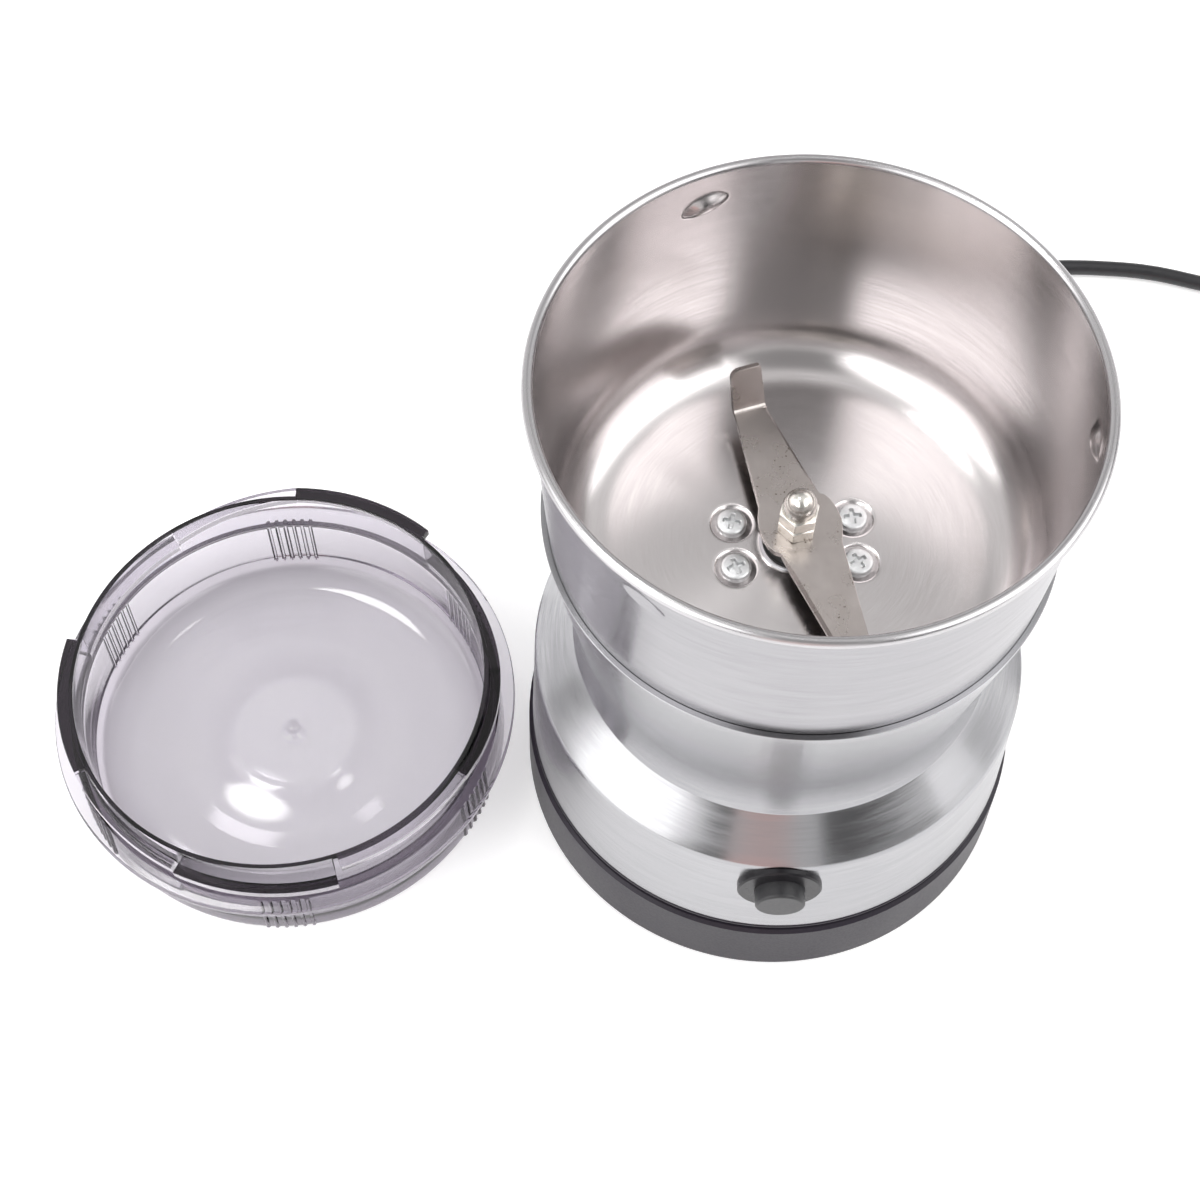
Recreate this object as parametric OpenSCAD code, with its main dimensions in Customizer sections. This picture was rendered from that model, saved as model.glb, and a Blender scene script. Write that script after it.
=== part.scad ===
// Electric spice grinder: a stainless bowl on an hourglass housing with a black base, a push switch,
// a two-armed blade on an upright motor, and a smoky lid that rests upside down beside the body.
// Millimetres, +Z up. The origin is where the motor's axis meets the table.

/* [Bowl] */
// Inside radius of the bowl's mouth
bowl_mouth_r = 50.4; // [50:0.1:51]
// Height of the middle of the rolled rim
rim_z = 145.3; // [142:0.1:148]
// Height of the bowl floor's upper face
bowl_floor_z = 91.8; // [91.6:0.1:92]
// Inside radius of the corner between the floor and the wall
bowl_corner_r = 11; // [11:0.5:13]
// Thickness of the bowl's sheet
bowl_t = 0.6; // [0.5:0.05:0.6]
// How far the bayonet dimples stand into the bowl
dimple_depth = 1.6; // [1:0.1:1.8]

/* [Housing] */
// Outside radius of the shell's lip, which the bowl sinks into
lip_r = 49.8; // [49.8:0.1:50]
// Height of the lip
lip_z = 104.9; // [104.5:0.1:105.5]
// Outside radius of the narrowest stretch
waist_r = 43; // [42.8:0.1:43.4]
// Outside radius of the crease under the neck
crease_r = 43.9; // [43.5:0.1:44.5]
// Outside radius of the shoulder
shoulder_r = 52.1; // [52:0.1:52.3]
// Outside radius at the bottom of the shell
shell_foot_r = 53.1; // [53:0.1:53.2]
// Thickness of the shell's sheet
shell_t = 0.6; // [0.5:0.05:0.6]

/* [Base] */
// Outside radius of the base at its widest
base_r = 54.3; // [54:0.1:55]
// Height of the joint between the base and the shell
base_z = 22; // [22:0.1:22.2]
// Radius of the circle that the feet stand on
foot_ring_r = 42.5; // [41:0.5:43]
// Direction of the first foot, turned from +X
foot_turn = 22; // [15:1:30]

/* [Blade] */
// Height of the blade's upper face
blade_z = 97.8; // [97.6:0.1:98.2]
// Thickness of the blade
blade_t = 1.4; // [1.2:0.1:1.6]
// Direction of the far arm, turned from +X
blade_turn = 108.5; // [0:0.5:180]
// How steeply the tips are bent up
tip_bend = 66; // [60:1:70]

/* [Switch] */
// Height of the middle of the button
button_z = 42; // [41.5:0.1:42.5]
// Diameter of the button
button_d = 10.3; // [10:0.1:10.8]
// How far the button stands out of its bezel
button_proud = 3.5; // [3.2:0.1:3.8]
// Travel of the button
button_travel = 2.5; // [2:0.1:2.6]

/* [Lid] */
// Where the middle of the lid stands on the table, along X
lid_x = -109.3; // [-120:0.1:-109]
// Where the middle of the lid stands on the table, along Y
lid_y = 1.4; // [-5:0.1:5]
// Height of the lid
lid_h = 31.3; // [31:0.1:32]
// Outside radius of the lid's flange
lid_flange_r = 52; // [51:0.1:52.5]

/* [Cord] */
// Diameter of the cord
cord_d = 4; // [3.8:0.1:4.2]

/* [Hidden] */

round_fn = 120;
small_fn = 40;
eps = 0.01;

// The bowl's wall leans out by this angle from upright
bowl_lean = 3.5;
rim_bead_r = 1.05;
bowl_boss_r = 7.2;
bowl_boss_foot_r = 8.6;
bowl_boss_h = 1.8;
seal_hole_r = 5;
pocket_r = 3.7;
pocket_depth = 1;
screw_spacing = [24, 10.3];
motor_turn = 3.5;
dimple_angles = [-7.5, 112.5, 232.5];
dimple_tilt = 12;
dimple_z = rim_z - 7;
dimple_r = 1.75;
dimple_half = 3.1;

// Heights of the shell's bends, from the top
waist_z = 69;
crease_z = 59;
shoulder_z = 49.4;
neck_curve_r = 1000;
shoulder_curve_r = 2;
flare_curve_r = 28;

// Motor, from the bottom up
shaft_r = 3;
shaft_foot_z = 12;
stud_r = 2;
fan_z = 13;
fan_h = 9;
frame_z = 23;
frame_t = 2.5;
commutator_z = 33.5;
core_z = 50;
core_h = 20;
bracket_z = 78;
bracket_t = 3;
post_top_z = bowl_floor_z - pocket_depth - bowl_t;
bolt_x = 24.5;
bend_y = 27.8;
blade_shift = [0.9, 0.6];
bend_r = 1.2;
tip_length = 8.4;
bolt_hole_r = 2.1;
bearing_r = 6.5;
bearing_h = 6;
running_gap = 0.03;
armature_r = 15;
commutator_r = 10;
base_post_r = 31;
base_post_top = 20;

// Metric fasteners of 4 mm
m4_r = 1.95;
m4_flats = 7;
m4_nut_h = 3.2;
pan_head_r = 2.95;
pan_head_h = 1.9;

// Switch, measured outwards along -Y
shell_r_at_button = shell_foot_r
    - (button_z - base_z) * (shell_foot_r - shoulder_r) / (shoulder_z - base_z);
switch_x = -0.8;
bezel_face_y = -(shell_r_at_button + 0.9);
bezel_r = 8.7;
bezel_edge = 0.35;
sleeve_r = 7.2;
sleeve_end_y = -42;
lip_inner_y = bezel_face_y + 3.8;
button_face_y = bezel_face_y - button_proud;
collar_t = 1.5;

// Lid, from the table up
lid_floor_t = 2.4;
lid_wall_r = 48.6;
lid_bore_r = 45.4;
lid_plug_r = 46.7;
flange_z = 17.3;
flange_t = 2;
ledge_r = 49;
ledge_t = 2;
ledge_z = 24.2;
lug_start = 55.4;
lug_end = 98;
stop_end = 115;
ledge_end = 169;

// The cord's way along its middle line, from the strain relief to the coil
cord_r = cord_d / 2;
cord_route = [[0, 77.05, 12], [0, 82, 11.8], [0.2, 87.4, 10.9], [1, 93, 9.1], [2.8, 98.6, 6.6],
    [5.6, 104.4, 4.2], [9.8, 110.6, 2.6], [15.2, 117, 2.05], [22, 123, 2], [28.6, 127.7, 2],
    [37, 132, 2], [47, 135.6, 2], [57, 138.4, 2], [69, 140.2, 2], [81.6, 140.9, 2], [94, 140.8, 2],
    [107, 139.4, 2], [120, 136, 2], [131.8, 132.6, 2], [143.6, 129, 2], [155, 125.2, 2.2],
    [162.4, 122.5, 2.8]];
// From the coil's top layer down to the plug
tail_route = [[178, 101, 10.8], [178.1, 95, 10.5], [178.2, 89, 9.5], [178.1, 84, 8.1],
    [178, 79.5, 7.1], [178, 74.06, 7]];
// The two wires inside the base
switch_lead = [[0.9, 31, 12], [1.4, 28.4, 11.4], [4, 24.4, 9.2], [9, 18, 8], [14.6, 7, 7.8],
    [16.4, -4, 7.8], [15.2, -15, 8.4], [12.6, -23, 11], [11.8, -25.6, 17], [11.6, -25.8, 26],
    [10.2, -26.6, 32.6], [5.6, -27.8, 35.8], [3.6, -28.4, 38.8], [3.2, -28.4, 41.6]];
brush_lead = [[-0.9, 31, 12], [-1.2, 29.4, 13], [-1.6, 28.8, 16.4], [-1.6, 28.8, 25], [-1.6, 28.8, 34],
    [-1.6, 28.4, 36.8], [-1.6, 27.2, 38], [-1.6, 25.6, 38.2]];
coil_centre = [154, 100];
coil_in_r = 18;
coil_out_r = 26;
coil_z = 0.8;
coil_h = 12;
tie_t = 0.8;
plug_x = 178;
plug_z = 7;
plug_back_y = 66;
plug_front_y = 31;
pin_length = 19;
pin_gap = 18;
exit_z = 12;

function polar(r, a) = [r * cos(a), r * sin(a)];
function unit(v) = v / norm(v);

// Centre of the arc of radius r through p and q, on the right-hand side going from p to q
function arc_centre(p, q, r) =
    let (half = (q - p) / 2, way = unit(q - p), off = sqrt(r * r - half * half))
    (p + q) / 2 + off * [way[1], -way[0]];
function angle_to(c, p) = (atan2(p[1] - c[1], p[0] - c[0]) + 360) % 360;

// A flat ring sector about c, from angle a0 to a1
module sector(c, r_in, r_out, a0, a1) {
    reach = 1.6 * r_out;
    middle = (a0 + a1) / 2;
    intersection() {
        difference() {
            translate(c) circle(r = r_out, $fn = round_fn);
            translate(c) circle(r = r_in, $fn = round_fn);
        }
        polygon([c, c + polar(reach, a0), c + polar(reach, middle), c + polar(reach, a1)]);
    }
}

// A pan-head screw with a cross recess: the underside of the head at z = 0, the shank below it
module pan_screw(length) {
    recess = 1.2;
    difference() {
        union() {
            rotate_extrude($fn = small_fn) intersection() {
                translate([0, pan_head_h - 9]) circle(r = 9, $fn = 96);
                square([pan_head_r, pan_head_h]);
            }
            translate([0, 0, -length]) cylinder(r = m4_r, h = length + eps, $fn = small_fn);
        }
        for (a = [0, 90]) rotate(a) translate([-1.6, -0.4, pan_head_h - recess]) cube([3.2, 0.8, 3]);
    }
}

// Places its children at the four screw posts of the motor
module at_bowl_screws() {
    rotate(motor_turn)
        for (sx = [-1, 1], sy = [-1, 1])
            translate([sx * screw_spacing[0] / 2, sy * screw_spacing[1] / 2, 0]) children();
}

module at_base_posts() {
    rotate(motor_turn)
        for (a = [45 : 90 : 315]) rotate(a) translate([base_post_r, 0, 0]) children();
}

// A round wire that follows a list of points, with rings of n sides; ends are flat
function ring_points(path, i, r, n) =
    let (last = len(path) - 1,
        way = unit(path[min(i + 1, last)] - path[max(i - 1, 0)]),
        side = unit(cross(way, abs(way[2]) > 0.9 ? [1, 0, 0] : [0, 0, 1])),
        rise = cross(side, way))
    [for (k = [0 : n - 1]) path[i] + r * (cos(360 * k / n) * side + sin(360 * k / n) * rise)];
module tube(path, r, n) {
    rings = len(path);
    points = [for (i = [0 : rings - 1]) each ring_points(path, i, r, n)];
    sides = [for (i = [0 : rings - 2], k = [0 : n - 1])
        [i * n + k, i * n + (k + 1) % n, (i + 1) * n + (k + 1) % n, (i + 1) * n + k]];
    first = [for (k = [n - 1 : -1 : 0]) k];
    final = [for (k = [0 : n - 1]) (rings - 1) * n + k];
    polyhedron(points = points, faces = concat([first], sides, [final]), convexity = 4);
}

// A helix along +Z from z = 0
function helix(r, height, turns, steps) =
    [for (i = [0 : turns * steps]) let (a = 360 * i / steps)
        [r * cos(a), r * sin(a), height * i / (turns * steps)]];

// ---------------------------------------------------------------- bowl

corner_z = bowl_floor_z + bowl_corner_r;
wall_top_z = rim_z - 1;
corner_x = bowl_mouth_r - (wall_top_z - corner_z) * tan(bowl_lean) - bowl_corner_r / cos(bowl_lean);

module bowl_section() {
    centre = [corner_x, corner_z];
    lean = polar(1, -bowl_lean);
    wall_foot_in = centre + bowl_corner_r * lean;
    wall_foot_out = centre + (bowl_corner_r + bowl_t) * lean;
    rise = [tan(bowl_lean), 1] * (rim_z - wall_foot_in[1]);
    // floor, corner, wall and rolled rim
    translate([bowl_boss_foot_r, bowl_floor_z - bowl_t])
        square([corner_x - bowl_boss_foot_r, bowl_t]);
    sector(centre, bowl_corner_r, bowl_corner_r + bowl_t, -90, -bowl_lean);
    polygon([wall_foot_in, wall_foot_out, wall_foot_out + rise, wall_foot_in + rise]);
    translate([bowl_mouth_r + rim_bead_r, rim_z]) circle(r = rim_bead_r, $fn = 48);
    // raised boss around the shaft
    polygon([[bowl_boss_foot_r, bowl_floor_z - bowl_t], [bowl_boss_foot_r, bowl_floor_z],
        [bowl_boss_r, bowl_floor_z + bowl_boss_h], [seal_hole_r, bowl_floor_z + bowl_boss_h],
        [seal_hole_r, bowl_floor_z + bowl_boss_h - bowl_t],
        [bowl_boss_r - 0.4, bowl_floor_z + bowl_boss_h - bowl_t]]);
}

// A rounded bar that lies along the wall at one bayonet dimple
module dimple(angle, r) {
    wall_r = bowl_mouth_r - (wall_top_z - dimple_z) * tan(bowl_lean);
    rotate(angle) translate([wall_r - dimple_depth + dimple_r, 0, dimple_z]) rotate([-dimple_tilt, 0, 0]) {
        rotate([90, 0, 0]) cylinder(r = r, h = 2 * dimple_half, center = true, $fn = 32);
        for (s = [-1, 1]) translate([0, s * dimple_half, 0]) sphere(r = r, $fn = 32);
    }
}

module bowl() {
    floor_under = bowl_floor_z - bowl_t;
    color("gainsboro") difference() {
        union() {
            rotate_extrude($fn = round_fn) bowl_section();
            for (a = dimple_angles) dimple(a, dimple_r);
            at_bowl_screws() translate([0, 0, post_top_z])
                cylinder(r = pocket_r + bowl_t - 0.3, h = floor_under - post_top_z + eps, $fn = 48);
        }
        for (a = dimple_angles) dimple(a, dimple_r - bowl_t);
        at_bowl_screws() {
            translate([0, 0, bowl_floor_z - pocket_depth])
                cylinder(r1 = pocket_r - 0.4, r2 = pocket_r + 0.3, h = pocket_depth + 0.4, $fn = 48);
            translate([0, 0, post_top_z - 1]) cylinder(r = 2.2, h = 4, $fn = small_fn);
        }
    }
}

module bowl_screws() {
    color("silver") at_bowl_screws() translate([0, 0, bowl_floor_z - pocket_depth]) pan_screw(9);
}

// Rubber lip that keeps powder out of the motor
module shaft_seal() {
    top = bowl_floor_z + bowl_boss_h;
    color("dimgray") rotate_extrude($fn = 64) difference() {
        polygon([[shaft_r + 0.08, top - 1.8], [6.4, top - 1.8], [6.4, top - bowl_t],
            [seal_hole_r, top - bowl_t], [seal_hole_r, top], [6.2, top], [5.6, top + 0.7],
            [shaft_r + 0.08, top + 0.7]]);
        translate([4.2, top + 1.1]) circle(r = 0.7, $fn = 32);
    }
}

// ---------------------------------------------------------------- housing

// Outer radius of the bowl's wall at height z
function bowl_outer_r(z) =
    bowl_mouth_r - (wall_top_z - z) * tan(bowl_lean) + bowl_t / cos(bowl_lean);

// A straight stretch of sheet whose outer face runs from p down to q
module strip(p, q, t) {
    way = unit(q - p);
    inward = t * [way[1], -way[0]];
    polygon([p, p + inward, q + inward, q]);
}

module shell_section() {
    lip = [lip_r, lip_z];
    waist = [waist_r, waist_z];
    crease = [crease_r, crease_z];
    shoulder = [shoulder_r, shoulder_z];
    neck_c = arc_centre(waist, lip, neck_curve_r);
    flare_c = arc_centre(crease, waist, flare_curve_r);
    band_a = atan2(shell_foot_r - shoulder_r, shoulder_z - base_z);
    shoulder_c = shoulder - polar(shoulder_curve_r, band_a);
    // the slope from the crease is tangent to the shoulder's curve
    slope_a = angle_to(crease, shoulder_c) - 360 + asin(shoulder_curve_r / norm(shoulder_c - crease));
    slope_end = shoulder_c + polar(shoulder_curve_r, slope_a + 90);
    sector(neck_c, neck_curve_r, neck_curve_r + shell_t, angle_to(neck_c, waist), angle_to(neck_c, lip));
    sector(flare_c, flare_curve_r, flare_curve_r + shell_t,
        angle_to(flare_c, crease), angle_to(flare_c, waist));
    strip(crease - polar(0.3, slope_a), slope_end, shell_t);
    sector(shoulder_c, shoulder_curve_r - shell_t, shoulder_curve_r, band_a, slope_a + 90);
    strip(shoulder, [shell_foot_r, base_z], shell_t);
    // rolled lip, and the joins between the stretches
    translate([lip_r - 0.42, lip_z]) circle(r = 0.43, $fn = 32);
    seat_r = bowl_outer_r(lip_z + 0.42) + 0.05;
    translate([seat_r + 0.3, lip_z + 0.12]) circle(r = 0.3, $fn = 32);
    translate([seat_r + 0.3, lip_z - 0.16]) square([lip_r - seat_r - 0.7, 0.56]);
    half = shell_t / 2;
    for (p = [waist - [half, 0], slope_end - polar(half, slope_a + 90), shoulder - polar(half, band_a)])
        translate(p) circle(r = half - 0.02, $fn = 32);
}

module housing_shell() {
    color("silver") difference() {
        rotate_extrude($fn = round_fn) shell_section();
        translate([switch_x, 0, button_z]) rotate([90, 0, 0])
            cylinder(r = sleeve_r + 0.05, h = 60, $fn = 64);
    }
}

// ---------------------------------------------------------------- base

floor_z = 3.2;
floor_t = 2.2;
skirt_in_r = 50.2;
skirt_foot_z = 1.6;

module base_section() {
    // skirt with a rounded foot, a groove and a bead under the shell, and a spigot inside the shell
    polygon([[skirt_in_r, skirt_foot_z], [base_r - 1.3, skirt_foot_z], [base_r, skirt_foot_z + 1.3],
        [base_r - 0.3, 19], [base_r - 1, 19.8], [52.6, 19.9], [52.6, 20.5], [52.9, 20.6],
        [53.3, 21.1], [53.3, 21.6], [52.9, base_z], [52.2, base_z], [52.2, base_z + 5],
        [51.7, base_z + 5.5], [skirt_in_r, base_z + 5.5]]);
    translate([base_r - 1.3, skirt_foot_z + 1.3]) circle(r = 1.3, $fn = 32);
    translate([0, floor_z]) square([skirt_in_r + eps, floor_t]);
}

module vent_slots() {
    for (ring = [0 : 2], k = [0 : 5])
        rotate(motor_turn + k * 60 + 12)
            translate([0, 0, floor_z - 1])
                rotate_extrude(angle = 36, $fn = round_fn)
                    translate([11 + ring * 5, 0]) square([2, floor_t + 2]);
}

module base() {
    color([0.20, 0.19, 0.21]) difference() {
        union() {
            rotate_extrude($fn = round_fn) base_section();
            at_base_posts() translate([0, 0, floor_z])
                cylinder(r = 5, h = base_post_top - floor_z, $fn = 48);
            // ribs from the posts to the skirt
            at_base_posts() translate([4.2, -0.9, floor_z]) cube([15.5, 1.8, 9]);
            // seat of the cord clamp
            translate([-8, 36, floor_z]) cube([16, 7, exit_z - cord_r - floor_z]);
        }
        at_base_posts() {
            translate([0, 0, floor_z - 1]) cylinder(r = 3.8, h = 5.8, $fn = 48);
            translate([0, 0, floor_z]) cylinder(r = 2.15, h = 30, $fn = small_fn);
        }
        for (a = [0 : 90 : 270]) rotate(foot_turn + a) translate([foot_ring_r, 0, floor_z - 1])
            cylinder(r = 2.5, h = 6, $fn = small_fn);
        vent_slots();
        // way out for the cord
        translate([0, 60, exit_z]) rotate([90, 0, 0]) cylinder(r = 3.9, h = 14, $fn = 48);
        for (s = [-1, 1]) translate([s * 5.4, 39.5, floor_z + floor_t])
            cylinder(r = 1.3, h = 10, $fn = 24);
    }
}

module rubber_feet() {
    color([0.12, 0.12, 0.12]) for (a = [0 : 90 : 270]) rotate(foot_turn + a) translate([foot_ring_r, 0, 0])
        rotate_extrude($fn = 48) polygon([[0, 0], [4.8, 0], [5.5, 0.7], [5.5, floor_z], [2.45, floor_z],
            [2.45, floor_z + floor_t], [3.4, floor_z + floor_t], [2.6, floor_z + floor_t + 2],
            [0, floor_z + floor_t + 2]]);
}

module base_screws() {
    head_z = floor_z + 4.8;
    color("silver") at_base_posts() translate([0, 0, head_z]) rotate([180, 0, 0])
        pan_screw(frame_z + frame_t + 0.8 - head_z);
}

module motor_dampers() {
    color([0.15, 0.15, 0.15]) at_base_posts() translate([0, 0, base_post_top]) difference() {
        cylinder(r = 4.6, h = frame_z - base_post_top, $fn = 48);
        translate([0, 0, -1]) cylinder(r = 2.15, h = 6, $fn = small_fn);
    }
}

// ---------------------------------------------------------------- motor, standing parts

module bearing_bore(z) {
    translate([0, 0, z]) cylinder(r = bearing_r, h = 20, $fn = 64);
}

module motor_top_bracket() {
    hub_top = bracket_z + 1 + bearing_h + 0.8;
    color("lightgray") rotate(motor_turn) difference() {
        union() {
            translate([-bolt_x, -8.5, bracket_z]) cube([2 * bolt_x, 17, bracket_t]);
            for (s = [-1, 1]) translate([s * bolt_x, 0, bracket_z])
                cylinder(r = 8.5, h = bracket_t, $fn = 48);
            for (s = [-1, 1]) translate([s * bolt_x, 0, core_z + core_h])
                cylinder(r = 3, h = bracket_z - core_z - core_h + eps, $fn = small_fn);
            translate([0, 0, bracket_z]) cylinder(r1 = 10, r2 = 8.6, h = hub_top - bracket_z, $fn = 64);
            for (sx = [-1, 1], sy = [-1, 1])
                translate([sx * screw_spacing[0] / 2, sy * screw_spacing[1] / 2, bracket_z + 1])
                    cylinder(r = 3.5, h = post_top_z - bracket_z - 1, $fn = small_fn);
        }
        bearing_bore(bracket_z + 1);
        translate([0, 0, bracket_z - 1]) cylinder(r = 3.6, h = 4, $fn = small_fn);
        for (s = [-1, 1]) translate([s * bolt_x, 0, core_z])
            cylinder(r = bolt_hole_r, h = 40, $fn = small_fn);
        for (sx = [-1, 1], sy = [-1, 1])
            translate([sx * screw_spacing[0] / 2, sy * screw_spacing[1] / 2, bracket_z + bracket_t])
                cylinder(r = 2, h = 12, $fn = small_fn);
    }
}

// Outline of the spider that carries the motor on its four dampers
module spider_outline() {
    difference() {
        union() {
            circle(r = 13, $fn = 64);
            translate([-bolt_x, -6]) square([2 * bolt_x, 12]);
            translate([-5, -26]) square([10, 52]);
            for (a = [45 : 90 : 315]) rotate(a) {
                translate([5, -3.6]) square([base_post_r - 5, 7.2]);
                translate([base_post_r, 0]) circle(r = 4.6, $fn = 48);
            }
            for (s = [-1, 1]) translate([s * bolt_x, 0]) circle(r = 7, $fn = 48);
        }
        for (a = [45 : 90 : 315]) rotate(a) translate([base_post_r, 0]) circle(r = 2, $fn = small_fn);
    }
}

module motor_end_frame() {
    hub_h = 2 + bearing_h;
    color([0.25, 0.23, 0.22]) rotate(motor_turn) translate([0, 0, frame_z]) difference() {
        union() {
            linear_extrude(frame_t) spider_outline();
            cylinder(r = 9.4, h = hub_h, $fn = 64);
            for (s = [-1, 1]) translate([s * bolt_x, 0, 0])
                cylinder(r = 3, h = core_z - frame_z, $fn = small_fn);
            for (s = [-1, 1]) translate([-4.2, s * 19 - 6, 0]) cube([8.4, 12, 11]);
        }
        translate([0, 0, 2]) cylinder(r = bearing_r, h = hub_h, $fn = 64);
        translate([0, 0, -1]) cylinder(r = 3.6, h = 5, $fn = small_fn);
        for (s = [-1, 1]) translate([s * bolt_x, 0, -1])
            cylinder(r = bolt_hole_r, h = 40, $fn = small_fn);
    }
}

module motor_bolts() {
    top = bracket_z + bracket_t;
    color("silver") rotate(motor_turn) for (s = [-1, 1]) translate([s * bolt_x, 0, top])
        pan_screw(top - frame_z);
}

module stator_core() {
    color("slategray") rotate(motor_turn) translate([0, 0, core_z]) linear_extrude(core_h) difference() {
        intersection() {
            square([56, 50], center = true);
            circle(r = 33, $fn = round_fn);
        }
        circle(r = armature_r + 0.5, $fn = round_fn);
        for (a = [0, 180]) sector([0, 0], armature_r, 21, a - 38, a + 38);
        for (s = [-1, 1]) translate([s * bolt_x, 0]) circle(r = bolt_hole_r, $fn = small_fn);
    }
}

// Each coil goes up one window of the core, over its pole, down the other window and back
module field_coils() {
    color("chocolate") rotate(motor_turn) for (pole = [0, 180]) rotate(pole) {
        for (a = [4, 145]) translate([0, 0, core_z - 6]) linear_extrude(core_h + 12)
            sector([0, 0], 16.4, 20.4, a, a + 31);
        for (z = [core_z - 6, core_z + core_h + 0.5]) translate([0, 0, z]) linear_extrude(5.5)
            sector([0, 0], 16.4, 21.2, 4, 176);
    }
}

module bush() {
    difference() {
        cylinder(r = bearing_r, h = bearing_h, $fn = 64);
        translate([0, 0, -1]) cylinder(r = shaft_r + running_gap, h = bearing_h + 2, $fn = 64);
    }
}

module top_bearing() {
    color("peru") translate([0, 0, bracket_z + 1]) bush();
}

module bottom_bearing() {
    color("peru") translate([0, 0, frame_z + 2]) bush();
}

// Brass boxes that guide the brushes towards the commutator
module brush_holders() {
    color("goldenrod") rotate(motor_turn) for (a = [0, 180]) rotate(a)
        translate([0, 13, frame_z + 11]) difference() {
            translate([-3.7, 0, 0]) cube([7.4, 12.6, 8.4]);
            translate([-3, -1, 0.7]) cube([6, 13, 7]);
        }
}

module carbon_brushes() {
    color([0.18, 0.18, 0.18]) rotate(motor_turn) for (a = [0, 180]) rotate(a)
        translate([0, 0, frame_z + 11.75]) difference() {
            translate([-2.95, commutator_r - 0.9, 0]) cube([5.9, 11.9, 6.9]);
            translate([0, 0, -1]) cylinder(r = commutator_r + 0.1, h = 10, $fn = 64);
        }
}

module brush_springs() {
    color("silver") rotate(motor_turn) for (a = [0, 180]) rotate(a)
        translate([0, commutator_r + 11.4, frame_z + 15.2]) rotate([-90, 0, 0])
            tube(helix(2, 3.2, 3, 10), 0.3, 6);
}

// ---------------------------------------------------------------- motor, turning parts

stud_z = blade_z - blade_t;

module shaft() {
    color("lightsteelblue") {
        translate([0, 0, shaft_foot_z]) cylinder(r = shaft_r, h = stud_z - shaft_foot_z, $fn = 64);
        translate([0, 0, stud_z - eps]) cylinder(r = stud_r - 0.02, h = 10.8, $fn = small_fn);
    }
}

module armature_core() {
    slots = 12;
    color("slategray") translate([0, 0, core_z]) linear_extrude(core_h) difference() {
        circle(r = armature_r, $fn = round_fn);
        circle(r = shaft_r, $fn = 64);
        for (k = [0 : slots - 1]) rotate(k * 360 / slots) {
            translate([12.1, 0]) circle(r = 1.9, $fn = 24);
            translate([12.1, -0.7]) square([4, 1.4]);
        }
    }
}

module armature_windings() {
    slots = 12;
    color("sienna") {
        for (z = [core_z - 6.5, core_z + core_h]) translate([0, 0, z]) rotate_extrude($fn = 64) {
            translate([4.5, 0]) square([7.3, 6.5]);
            translate([11.7, 3.25]) circle(r = 2.2, $fn = 32);
        }
        for (k = [0 : slots - 1]) rotate(k * 360 / slots) translate([12.1, 0, core_z - 3])
            cylinder(r = 1.7, h = core_h + 6, $fn = 24);
    }
}

module commutator() {
    bars = 24;
    color("darkorange") difference() {
        translate([0, 0, commutator_z]) {
            cylinder(r = commutator_r, h = 9, $fn = 96);
            translate([0, 0, 8.7]) cylinder(r = commutator_r + 1.2, h = 1.2, $fn = 96);
        }
        translate([0, 0, commutator_z - 1]) cylinder(r = shaft_r, h = 12, $fn = 64);
        for (k = [0 : bars - 1]) rotate(k * 360 / bars)
            translate([commutator_r - 1, -0.2, commutator_z - 1]) cube([4, 0.4, 12]);
    }
}

// Curved blades hang from a disc and draw air in through the base
module cooling_fan() {
    blades = 9;
    color([0.85, 0.85, 0.82]) difference() {
        union() {
            translate([0, 0, fan_z]) cylinder(r = 5.5, h = fan_h, $fn = 64);
            translate([0, 0, fan_z + fan_h - 1.5]) cylinder(r = 20, h = 1.5, $fn = 96);
            for (k = [0 : blades - 1]) rotate(k * 360 / blades)
                translate([0, 0, fan_z + 0.5]) linear_extrude(fan_h - 1)
                    sector([11, -12], 13, 14.2, 45, 135);
        }
        translate([0, 0, fan_z - 1]) cylinder(r = shaft_r, h = fan_h + 2, $fn = 64);
        // trims the blades to the rim of the disc
        translate([0, 0, fan_z - 1]) difference() {
            cylinder(r = 40, h = fan_h + 2, $fn = 96);
            translate([0, 0, -1]) cylinder(r = 20, h = fan_h + 4, $fn = 96);
        }
    }
}

module blade_collar() {
    top = blade_z - blade_t;
    color("gainsboro") difference() {
        translate([0, 0, top - 1.3]) cylinder(r1 = 4.8, r2 = 5.4, h = 1.3, $fn = 64);
        translate([0, 0, top - 2]) cylinder(r = shaft_r, h = 4, $fn = 64);
    }
}

// Outline from above, with the far arm along +Y and its tips cut off beyond the bends
module blade_outline(reach) {
    for (a = [0, 180]) rotate(a)
        polygon([[-6, -5.4], [6, 5.4], [5.6, 9.8], [3.3, bend_y], [3.1, reach], [-3.2, reach],
            [-3.5, bend_y], [-6.3, 6.4], [-7.4, 3.9], [-8.1, 1.4], [-8.1, -1], [-7.6, -3.4],
            [-6.9, -4.7]]);
}

// Side view of one arm: flat, then bent up towards the tip
module arm_profile() {
    bend = [bend_y, bend_r];
    way = polar(1, tip_bend);
    out = polar(1, tip_bend - 90);
    foot = bend + bend_r * out;
    translate([-1, -blade_t]) square([bend_y + 1, blade_t]);
    sector(bend, bend_r, bend_r + blade_t, -90, tip_bend - 90);
    polygon([foot, foot + blade_t * out, foot + blade_t * out + tip_length * way,
        foot + tip_length * way]);
    // joins the three stretches
    translate([bend_y - 0.3, 0.3 - blade_t]) square([0.6, blade_t - 0.6]);
    translate(foot) rotate(tip_bend) translate([-0.3, 0.3 - blade_t]) square([0.6, blade_t - 0.6]);
}

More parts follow.
